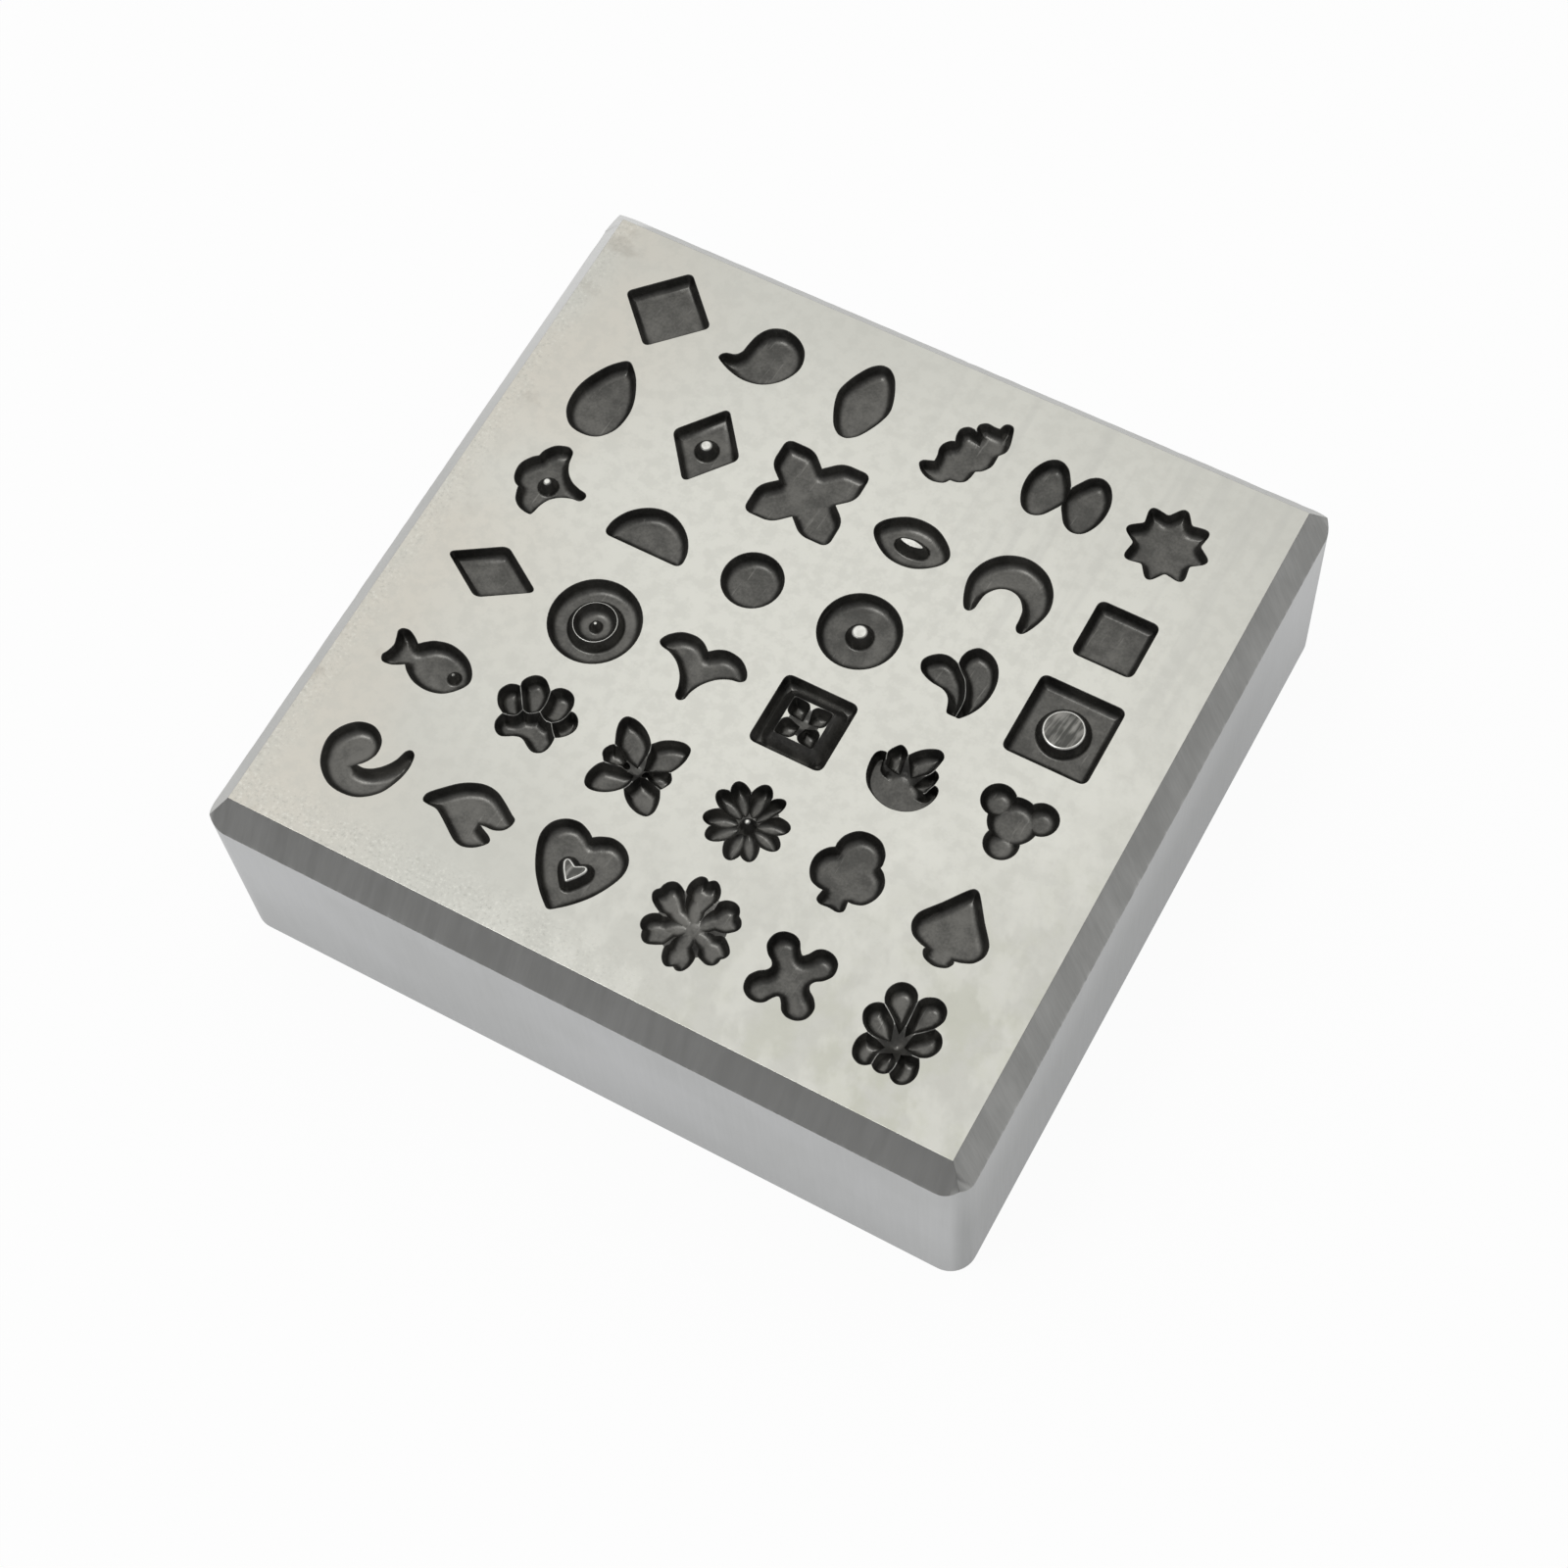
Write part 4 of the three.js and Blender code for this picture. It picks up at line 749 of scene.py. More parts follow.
def is_sound(edge):
    """Whether an inset still goes round a floor the right way, in one piece."""
    if edge is None:
        return False
    distinct = [point for i, point in enumerate(edge) if point is not edge[i - 1]]
    sides = list(zip(distinct, distinct[1:] + distinct[:1]))
    if sum(a.cross(b) for a, b in sides) <= 0:
        return False
    return not any(
        sides_cross(*sides[i], *sides[k])
        for i in range(len(sides)) for k in range(i + 2, len(sides) - (i == 0))
    )


def sides_cross(a, b, c, d):
    """Whether the side from a to b crosses the one from c to d."""
    if min(a.x, b.x) > max(c.x, d.x) or min(c.x, d.x) > max(a.x, b.x):
        return False
    along, across = b - a, d - c
    one = along.cross(c - a) * along.cross(d - a)
    other = across.cross(a - c) * across.cross(b - c)
    return min(one, other) < -merge_distance ** 2 and max(one, other) < merge_distance ** 2


# Profiles of the sides, as pairs of how far a side has come in or out and how deep it is there


def rim_profile(radius, lean):
    """The round from the top face onto a side."""
    back = radius * math.tan((math.pi / 2 - lean) / 2)
    angles = [(math.pi / 2 - lean) * k / rim_steps for k in range(rim_steps + 1)]
    return [(radius * math.sin(a) - back, radius * (1 - math.cos(a))) for a in angles]


def foot_profile(lean, fillet, depth):
    """The end of the straight side and the round from there onto the floor."""
    straight = depth - fillet * (1 - math.sin(lean))
    middle = straight * math.tan(lean) + fillet * math.cos(lean)
    angles = [lean + (math.pi / 2 - lean) * k / fillet_steps for k in range(fillet_steps + 1)]
    return [(middle - fillet * math.cos(a), depth - fillet * (1 - math.sin(a))) for a in angles]


# Solids


def loft(rings):
    """A closed solid through rings of equal count, each an edge and a height."""
    solid = bmesh.new()
    edge, height = rings[0]
    cap = solid.faces.new([solid.verts.new((*point, height)) for point in edge])
    for k, (edge, height) in enumerate(rings[1:]):
        grown = bmesh.ops.extrude_face_region(solid, geom=[cap])["geom"]
        if k > 0:
            bmesh.ops.delete(solid, geom=[cap], context="FACES_ONLY")
        cap = next(item for item in grown if isinstance(item, bmesh.types.BMFace))
        for vert, point in zip(cap.verts, edge):
            vert.co = (*point, height)
    bmesh.ops.remove_doubles(solid, verts=solid.verts, dist=merge_distance)
    bmesh.ops.recalc_face_normals(solid, faces=solid.faces)
    return solid


def sinking(edge, fillet=floor_fillet):
    """The shape that sinks one edge into the top face. Where the edge is too narrow for the full lean, its
    walls stand steeper, as far as its floor leaves room."""
    rim = rim_profile(rim_radius, wall_lean)
    mouth = rim[0][0] - burnish_width
    burnish = [(mouth, -overrun), (mouth, 0), (rim[0][0], burnish_drop)]
    profile = burnish + rim[1:] + foot_profile(wall_lean, fillet, sink_depth)
    lean_share = 1
    while not is_sound(inset_edge(edge, profile[-1][0] * lean_share)):
        lean_share -= LEAN_STEP_SHARE
    return loft([
        (inset_edge(edge, inset * lean_share if inset > 0 else inset), plate_height - depth)
        for inset, depth in profile
    ])


def island(edge, drop=0, rim=island_rim_radius, lean=island_lean):
    """The shape that stays standing in a sinking, from its edge at the top to its wider foot."""
    depth = sink_depth - drop
    profile = rim_profile(rim, lean) + foot_profile(lean, island_fillet, depth)
    profile.append((profile[-1][0], depth + overrun))
    return loft([(inset_edge(edge, -spread), plate_height - drop - down) for spread, down in profile])


def dish(x, y, mouth, floor, reach, depth=sink_depth):
    """A round dish that starts and ends level, by the shares of its middle, its mouth and its floor."""
    unit = circle_edge(1)
    rings = [(0, -overrun / depth)]
    for k in range(dish_steps + 1):
        even = k / dish_steps
        rounded = (1 - math.cos(math.pi * even)) / 2
        rings.append((even, even + (rounded - even) * DISH_ROUND_SHARE))
    return loft([
        (
            [(Vector((x, y)) + point * (mouth + (floor - mouth) * share)) * reach for point in unit],
            plate_height - depth * depth_share,
        )
        for share, depth_share in rings
    ])


def bowl(edge, drop):
    """A hollow inside a standing ring, from the ring's brim down to the floor."""
    profile = [(0, -overrun - drop), (0, 0)] + foot_profile(island_lean, floor_fillet, sink_depth - drop)
    return loft([(inset_edge(edge, inset), plate_height - drop - depth) for inset, depth in profile])


# Figures: what is sunk, what stays standing in it, what is sunk into that, and what stands there

Figure = namedtuple("Figure", "sunk standing resunk pips", defaults=((), (), ()))


def sunk(edges, fillet=floor_fillet, **more):
    """A figure whose edges are all sunk, with the same fillet onto the floor."""
    return Figure([sinking(edge, fillet) for edge in edges], **more)


def around(turn, distance):
    """The place at a turn in degrees and a distance from the middle."""
    return distance * math.cos(math.radians(turn)), distance * math.sin(math.radians(turn))


def pin(radius, at=(0, 0), drop=pin_drop):
    """A pin whose round top lies a little below the face."""
    return island(circle_edge(radius, at), drop, min(pin_rim_radius, radius))


def corner_square():
    return sunk([rhomb_edge(corner_square_reach, corner_square_reach, corner_square_ease)])


def comma():
    return sunk([traced_edge(COMMA_SHARES, comma_reach)])


def upright_almond():
    return sunk([almond_edge(upright_almond_half_width, upright_almond_half_height)])


def oak_leaf():
    return sunk([traced_edge(OAK_LEAF_SHARES, oak_leaf_reach)])


def bow():
    """Two loops that meet at a waist."""
    return sunk([traced_edge(BOW_LOOP_SHARES, bow_reach), traced_edge(mirrored(BOW_LOOP_SHARES), bow_reach)])


def star():
    shares = []
    for i in range(STAR_POINTS):
        tip, valley = 360 * i / STAR_POINTS, 360 * (i + 0.5) / STAR_POINTS
        shares.append((*around(tip, 1), STAR_TIP_EASE_SHARE))
        shares.append((*around(valley, STAR_VALLEY_SHARE), STAR_VALLEY_EASE_SHARE))
    return sunk([traced_edge(shares, star_reach)])


def drop():
    return sunk([traced_edge(both_sides(DROP_SHARES), drop_reach)])


def pinned_rhomb():
    rhomb = rhomb_edge(upright_rhomb_half_width, upright_rhomb_half_height, rhomb_ease)
    return sunk([rhomb], standing=[pin(rhomb_pin_radius)])


def cross():
    return sunk([traced_edge(four_quarters(CROSS_SHARES), cross_reach)])


def eye():
    """Two lids round a lens that is left standing."""
    lids = quarter_turned(almond_edge(lying_almond_half_height, lying_almond_half_width, LID_SHARES))
    inner = quarter_turned(almond_edge(eye_half_height, eye_half_width))
    return sunk([lids], standing=[island(inner, pin_drop)])


def crescent():
    return sunk([traced_edge(both_sides(CRESCENT_SHARES), crescent_reach)])


def small_square():
    return sunk([square_edge(small_square_reach, square_ease)])


def trumpet():
    throat = pin(trumpet_pin_radius, [share * trumpet_reach for share in TRUMPET_PIN_SHARES])
    return sunk([traced_edge(TRUMPET_SHARES, trumpet_reach)], standing=[throat])


def half_moon():
    return sunk([traced_edge(both_sides(HALF_MOON_SHARES), half_moon_reach)])


def plain_circle():
    return sunk([circle_edge(plain_circle_radius)])


def pinned_disc():
    return sunk([circle_edge(pinned_disc_radius)], standing=[pin(disc_pin_radius)])


def paisleys():
    cells = cell_edges(PAISLEY_CORNER_SHARES, PAISLEY_LINE_SHARES, PAISLEY_CELLS, paisleys_reach)
    return sunk(cells, cell_fillet)


def boss_square():
    boss = island(circle_edge(boss_radius), boss_drop, boss_rim_radius)
    return sunk([square_edge(boss_square_reach, square_ease)], standing=[boss])


def lying_rhomb():
    return sunk([rhomb_edge(lying_rhomb_half_width, lying_rhomb_half_height, rhomb_ease)])


def target():
    """A disc with a ring standing in it, whose inside falls to a bowl with a small pip."""
    middle = circle_edge(target_ring_radius)
    return sunk(
        [circle_edge(target_radius)],
        standing=[island(inset_edge(middle, -target_ring_width / 2), target_ring_drop)],
        resunk=[bowl(inset_edge(middle, target_ring_width / 2), target_ring_drop)],
        pips=[island(circle_edge(pip_radius), pip_drop, pip_rim_radius)],
    )


def tail():
    return sunk([traced_edge(both_sides(TAIL_SHARES), tail_reach)])


def panel():
    """A square with a raised panel in it, into which four petals are sunk corner to corner."""
    raised = square_edge(PANEL_HALF_SHARE * panel_square_reach, PANEL_EASE_SHARE * panel_square_reach)
    petal = traced_edge(both_sides(PANEL_PETAL_SHARES), panel_square_reach)
    turns = [Matrix.Rotation(math.radians(turn), 2) for turn in PANEL_PETAL_TURNS]
    return sunk(
        [square_edge(panel_square_reach, square_ease)],
        standing=[island(raised, lean=panel_lean)],
        resunk=[
            *[sinking([turn @ point for point in petal], cell_fillet) for turn in turns],
            dish(*PANEL_DISH_SHARES, panel_square_reach, depth=panel_dish_depth),
        ],
    )


def wing_leaf():
    cells = cell_edges(WING_LEAF_CORNER_SHARES, WING_LEAF_LINE_SHARES, WING_LEAF_CELLS, wing_leaf_reach)
    cells += ovals([WING_LEAF_BODY_SHARES], wing_leaf_reach)
    return sunk_round_dish(cells, WING_LEAF_DISH_SHARES, wing_leaf_reach)


def trefoil():
    """Three round lobes round a disc."""
    lobes = [(*around(turn, TREFOIL_DISTANCE_SHARE), *TREFOIL_LOBE_SHARES) for turn in TREFOIL_TURNS]
    return sunk(ovals([*lobes, TREFOIL_BODY_SHARES], trefoil_reach))


def fish():
    fish_eye = pin(fish_eye_radius, [share * fish_reach for share in FISH_EYE_SHARES], fish_eye_drop)
    return sunk([traced_edge(FISH_SHARES, fish_reach)], standing=[fish_eye])


def paw():
    return sunk(cell_edges(PAW_CORNER_SHARES, PAW_LINE_SHARES, PAW_CELLS, paw_reach), cell_fillet)


def butterfly():
    """Four wings, a round spot at each side and a low body in the middle with two small pits."""
    wings = cell_edges(BUTTERFLY_CORNER_SHARES, BUTTERFLY_LINE_SHARES, BUTTERFLY_CELLS, butterfly_reach)
    wings = sunk(wings + ovals(BUTTERFLY_SPOT_SHARES, butterfly_reach), cell_fillet)
    wings.sunk.append(dish(*BUTTERFLY_DISH_SHARES, butterfly_reach, depth=butterfly_dish_depth))
    return wings


def sunk_round_dish(edges, dish_shares, reach, **more):
    """A flower whose petals run down into a dish."""
    petals = sunk(edges, flower_fillet, **more)
    petals.sunk.append(dish(*dish_shares, reach))
    return petals


def daisy():
    """Ten petals of one length, and a pin in the dish where they meet."""
    petals = [
        (*around(turn, tip - DAISY_LONG_SHARE), DAISY_LONG_SHARE, wide, turn)
        for turn, tip, wide in DAISY_PETAL_SHARES
    ]
    middle = pin(daisy_pin_radius)
    return sunk_round_dish(ovals(petals, daisy_reach), DAISY_DISH_SHARES, daisy_reach, standing=[middle])


def club():
    return sunk([traced_edge(both_sides(CLUB_SHARES), club_reach)])


def spade():
    return sunk([traced_edge(both_sides(SPADE_SHARES), spade_reach)])


def hook():
    return sunk([traced_edge(HOOK_SHARES, hook_reach)])


def notched_leaf():
    return sunk([traced_edge(NOTCHED_LEAF_SHARES, notched_leaf_reach)])


def heart():
    inner = island(traced_edge(both_sides(HEART_ISLAND_SHARES), heart_reach), boss_drop, boss_rim_radius)
    return sunk([traced_edge(both_sides(HEART_SHARES), heart_reach)], standing=[inner])


def cosmos():
    """Six petals with a notch in each end, whose floors run together in the middle."""
    petals = cell_edges(COSMOS_CORNER_SHARES, COSMOS_LINE_SHARES, COSMOS_CELLS, cosmos_reach)
    x, y = COSMOS_DISH_SHARES[:2]
    distance, long, wide = COSMOS_RUN_SHARES
    for turn in COSMOS_RUN_TURNS:
        across, along = around(turn, distance)
        petals.append(oval_edge(x + across, y + along, long, wide, turn, cosmos_reach))
    return sunk_round_dish(petals, COSMOS_DISH_SHARES, cosmos_reach)


def bone_cross():
    return sunk([traced_edge(four_quarters(BONE_CROSS_SHARES), bone_cross_reach)])


def seven_petals():
    corners, lines, cells = SEVEN_PETALS_CORNER_SHARES, SEVEN_PETALS_LINE_SHARES, SEVEN_PETALS_CELLS
    petals = cell_edges(corners, lines, cells, seven_petals_reach)
    return sunk_round_dish(petals, SEVEN_PETALS_DISH_SHARES, seven_petals_reach)


# The figures in their rows, from the back row forwards and from left to right, and how far the middle of
# each lies off its cell's, in shares of the pitches
FIGURE_ROWS = [
    (corner_square, comma, upright_almond, oak_leaf, bow, star),
    (drop, pinned_rhomb, cross, eye, crescent, small_square),
    (trumpet, half_moon, plain_circle, pinned_disc, paisleys, boss_square),
    (lying_rhomb, target, tail, panel, wing_leaf, trefoil),
    (fish, paw, butterfly, daisy, club, spade),
    (hook, notched_leaf, heart, cosmos, bone_cross, seven_petals),
]
SHIFT_SHARES = [
    [(-0.013, 0.14), (-0.017, 0.101), (-0.015, 0.079), (0.009, 0.039), (-0.034, 0.022), (-0.072, -0.021)],
    [(-0.047, 0.082), (-0.022, 0.053), (-0.015, 0.031), (0.012, 0), (-0.034, -0.089), (-0.052, -0.046)],
    [(-0.03, 0.109), (0.006, 0.087), (-0.012, 0.05), (0.023, 0.032), (-0.062, 0.018), (-0.057, -0.005)],
    [(-0.026, 0.093), (0, 0.081), (-0.009, 0.056), (0.019, 0.051), (-0.022, 0.016), (-0.043, 0.05)],
    [(-0.041, 0.083), (-0.006, 0.089), (-0.015, 0.055), (0.043, 0.038), (-0.006, 0.032), (-0.031, -0.014)],
    [(-0.047, 0.024), (-0.034, 0.03), (-0.003, -0.01), (0.076, 0.013), (0.011, -0.005), (-0.003, -0.016)],
]


def figure_place(row, column):
    across, along = SHIFT_SHARES[row][column]
    x = (column - (columns - 1) / 2 + across) * column_pitch
    y = ((rows - 1) / 2 - row + along) * row_pitch
    return Vector((x, y, 0))


# Block


def block():
    """The block with round upright corners, its top edges cut by four flat chamfers that meet in mitres."""
    solid = bmesh.new()
    size = Matrix.Diagonal((plate_width, plate_depth, plate_height, 1))
    bmesh.ops.create_cube(solid, size=1, matrix=Matrix.Translation((0, 0, plate_height / 2)) @ size)
    upright = [edge for edge in solid.edges if edge.verts[0].co.xy == edge.verts[1].co.xy]
    bmesh.ops.bevel(
        solid, geom=upright, offset=corner_radius, segments=corner_segments, profile=0.5, affect="EDGES",
        material=-1,
    )
    for way in (Vector((1, 0, 0)), Vector((-1, 0, 0)), Vector((0, 1, 0)), Vector((0, -1, 0))):
        reach = plate_width / 2 if way.x else plate_depth / 2
        foot = way * reach + Vector((0, 0, plate_height - chamfer_drop))
        width = front_chamfer_width if way.y < 0 else chamfer_width
        outward = way * chamfer_drop + Vector((0, 0, width))
        everything = solid.verts[:] + solid.edges[:] + solid.faces[:]
        cut = bmesh.ops.bisect_plane(
            solid, geom=everything, dist=merge_distance, plane_co=foot, plane_no=outward, clear_outer=True,
        )
        border = [item for item in cut["geom_cut"] if isinstance(item, bmesh.types.BMEdge)]
        face = bmesh.ops.contextual_create(solid, geom=border)["faces"][0]
        roughen_border(solid, face, way)
    ease_edges(solid)
    for vert in solid.verts:
        vert.co.x = min(max(vert.co.x, -plate_width / 2), plate_width / 2)
        vert.co.y = min(max(vert.co.y, -plate_depth / 2), plate_depth / 2)
        vert.co.z = min(max(vert.co.z, 0), plate_height)
    bmesh.ops.recalc_face_normals(solid, faces=solid.faces)
    return solid


def roughen_border(solid, face, way):
    """Cuts a chamfer across into strokes and lets its lower border wander a little downwards."""
    along = Vector((-way.y, way.x, 0))
    ends = sorted(vert.co.dot(along) for vert in face.verts)
    count = round((ends[-1] - ends[0]) / stroke_width)
    strokes = [face]
    for k in range(1, count):
        place = ends[0] + (ends[-1] - ends[0]) * k / count
        parts = set(strokes)
        for stroke in strokes:
            parts.update(stroke.edges)
            parts.update(stroke.verts)
        cut = bmesh.ops.bisect_plane(
            solid, geom=list(parts), dist=merge_distance, plane_co=along * place, plane_no=along,
        )
        fresh = [item for item in cut["geom"] if isinstance(item, bmesh.types.BMFace)]
        strokes = [item for item in fresh if item.calc_center_median().dot(along) > place]
    side = (plate_width if way.x else plate_depth) / 2
    half = (plate_depth if way.x else plate_width) / 2 - corner_radius
    for vert in solid.verts:
        on_side = abs(vert.co.dot(way) - side) < merge_distance
        on_border = abs(vert.co.z - plate_height + chamfer_drop) < merge_distance
        if on_side and on_border and abs(vert.co.dot(along)) < half - merge_distance:
            wave = noise.noise(vert.co * border_waves_per_mm)
            ripple = noise.noise(vert.co * border_ripples_per_mm)
            vert.co.z -= border_wander * abs(wave + BORDER_RIPPLE_SHARE * ripple)


def ease_edges(solid):
    """Takes the sharpness off every edge of the block but the fine ones of its round corners."""
    sharp = [edge for edge in solid.edges if edge.is_manifold and edge.calc_face_angle() > finest_fold]
    bmesh.ops.bevel(
        solid, geom=sharp, offset=edge_ease, segments=ease_segments, profile=0.5, affect="EDGES",
        material=-1, clamp_overlap=True,
    )


# The plate


def as_object(solid, name):
    mesh = bpy.data.meshes.new(name)
    solid.to_mesh(mesh)
    solid.free()
    return bpy.data.objects.new(name, mesh)


def cutting_groups():
    """The figures' solids in place, in four collections that follow each other in the cutting."""
    groups = [bpy.data.collections.new(level) for level in Figure._fields]
    for row, line in enumerate(FIGURE_ROWS):
        for column, figure in enumerate(line):
            for group, solids in zip(groups, figure()):
                for k, solid in enumerate(solids):
                    bmesh.ops.translate(solid, verts=solid.verts, vec=figure_place(row, column))
                    group.objects.link(as_object(solid, f"{figure.__name__}_{group.name}_{k}"))
    return groups


def cut_block():
    """The block's mesh with every figure sunk in it."""
    whole = as_object(block(), "block")
    bpy.context.scene.collection.objects.link(whole)
    groups = cutting_groups()
    for group, operation in zip(groups, ("DIFFERENCE", "UNION", "DIFFERENCE", "UNION")):
        bpy.context.scene.collection.children.link(group)
        step = whole.modifiers.new(group.name, "BOOLEAN")
        step.operation = operation
        step.solver = "MANIFOLD"
        step.operand_type = "COLLECTION"
        step.collection = group
    bpy.context.view_layer.update()
    evaluated = whole.evaluated_get(bpy.context.evaluated_depsgraph_get())
    mesh = bpy.data.meshes.new_from_object(evaluated)
    for group in groups:
        for tool in list(group.objects):
            bpy.data.meshes.remove(tool.data)
        bpy.data.collections.remove(group)
    bpy.data.meshes.remove(whole.data)
    return mesh


# The finishes by the number of their material slot, and where each of them lies
TOP, END_CHAMFERS, SIDE_CHAMFERS, SIDES, SUNK, RIDGE, PIN, BOSS_TOP = range(8)


def figure_at(point):
    """The figure in whose cell a point lies, and the point's place from that figure's middle."""
    column = min(max(round(point.x / column_pitch + (columns - 1) / 2), 0), columns - 1)
    row = min(max(round((rows - 1) / 2 - point.y / row_pitch), 0), rows - 1)
    return FIGURE_ROWS[row][column], (point - figure_place(row, column)).xy


def stays_dark(point):
    """Whether a point lies where nothing has rubbed: in the middle or at a corner of the raised panel, or at
    the butterfly's body."""
    figure, place = figure_at(point)
    if figure is butterfly:
        return place.length < butterfly_dark_radius
    across, along = sorted((abs(place.x), abs(place.y)))
    in_panel = figure is panel and along < (PANEL_HALF_SHARE + PANEL_EASE_SHARE) * panel_square_reach
    at_corner = across > PANEL_CORNER_SHARE * panel_square_reach
    return in_panel and (at_corner or place.length < PANEL_DARK_SHARE * panel_square_reach)


def is_strip(face):
    """Whether a face hardly rises from one side to the other."""
    heights = [vert.co.z for vert in face.verts]
    return max(heights) - min(heights) < ridge_strip


def finish_of(face):
    """Which finish a face of the cut plate has, from where it lies and which way it points."""
    middle, normal = face.calc_center_median(), face.normal
    depth = plate_height - middle.z
    if stays_dark(middle):
        return SUNK
    if normal.z > level_rise and depth < 2 * burnish_drop:
        return TOP
    field_x, field_y = plate_width / 2 - chamfer_width, plate_depth / 2 - front_chamfer_width
    in_field = abs(middle.x) < field_x - edge_ease and abs(middle.y) < field_y - edge_ease
    if in_field and (normal.z > 0 or depth < sink_depth + merge_distance):
        return figure_finish(face, middle, depth)
    if normal.z < upright_rise:
        return SIDES
    if depth < 2 * edge_ease and normal.z > nearly_level_rise:
        return TOP
    return SIDE_CHAMFERS if abs(normal.x) > abs(normal.y) else END_CHAMFERS


def figure_finish(face, middle, depth):
    """Which finish a face inside a figure has."""
    level = face.normal.z > level_rise
    if level and abs(depth - boss_drop) < merge_distance:
        return BOSS_TOP
    figure, place = figure_at(middle)
    on_boss = figure in (boss_square, heart) and place.length < boss_reach
    if on_boss and depth < boss_drop + boss_rim_radius:
        return PIN
    if level and min(abs(depth - top) for top in (pin_drop, target_ring_drop, pip_drop)) < burnish_drop:
        return PIN
    # Rims of the islands take the ridge finish: partly wear, partly painted highlight
    on_rim = is_strip(face) and pin_drop < depth - burnish_drop < 2 * target_ring_drop
    return RIDGE if on_rim else SUNK


def is_crest(edge):
    """Whether an edge runs along a ridge between two sinkings, whose sides fall away from it both ways."""
    if len(edge.link_faces) != 2 or not edge.is_convex:
        return False
    one, other = [face.normal for face in edge.link_faces]
    falls_both_ways = one.xy.dot(other.xy) < 0 and min(one.z, other.z) > 0
    return falls_both_ways and plate_height - max(vert.co.z for vert in edge.verts) < ridge_reach


def shot_plate():
    """The finished plate, in metres, with each face's finish and with its crisp edges marked."""
    mesh = cut_block()
    mesh.materials.clear()
    solid = bmesh.new()
    solid.from_mesh(mesh)
    solid.normal_update()
    for face in solid.faces:
        face.material_index = finish_of(face)
        face.smooth = True
    # Crest strips take the ridge finish: partly wear, partly painted highlight
    for edge in filter(is_crest, solid.edges):
        for face in edge.link_faces:
            worn_and_highlit = is_strip(face) and not stays_dark(face.calc_center_median())
            if face.material_index == SUNK and worn_and_highlit:
                face.material_index = RIDGE
    for edge in solid.edges:
        finishes = {face.material_index for face in edge.link_faces}
        leaves_top = TOP in finishes and len(finishes) > 1
        edge.smooth = not (leaves_top or edge.calc_face_angle() > crisp_angle)
    bmesh.ops.scale(solid, vec=(METRES_PER_MM,) * 3, verts=solid.verts)
    solid.to_mesh(mesh)
    solid.free()
    plate = bpy.data.objects.new("ground_plate", mesh)
    bpy.context.scene.collection.objects.link(plate)
    even = plate.modifiers.new("even_shading", "WEIGHTED_NORMAL")
    even.mode = "FACE_AREA"
    even.weight = 100
    even.keep_sharp = True
    return plate


# The looks of the finishes


class Wire:
    """A number that varies over a surface. Sums on it add Math nodes."""

    def __init__(self, finish, socket):
        self.finish, self.socket = finish, socket

    def combined(self, operation, one, other):
        return self.finish.node("Math", {"operation": operation}, {0: one, 1: other})

    def __add__(self, other):
        return self.combined("ADD", self, other)

    def __mul__(self, other):
        return self.combined("MULTIPLY", self, other)

    def __sub__(self, other):
        return self.combined("SUBTRACT", self, other)

    def __rsub__(self, other):
        return self.combined("SUBTRACT", other, self)

    __radd__ = __add__
    __rmul__ = __mul__

    def most(self, other):
        return self.combined("MAXIMUM", self, other)

    def ramp(self, low, high, start=0, end=1):
        """This number spread from one range onto another, with soft ends and held there."""
        values = {"Value": self, "From Min": low, "From Max": high, "To Min": start, "To Max": end}
        return self.finish.node("MapRange", {"interpolation_type": "SMOOTHSTEP"}, values)


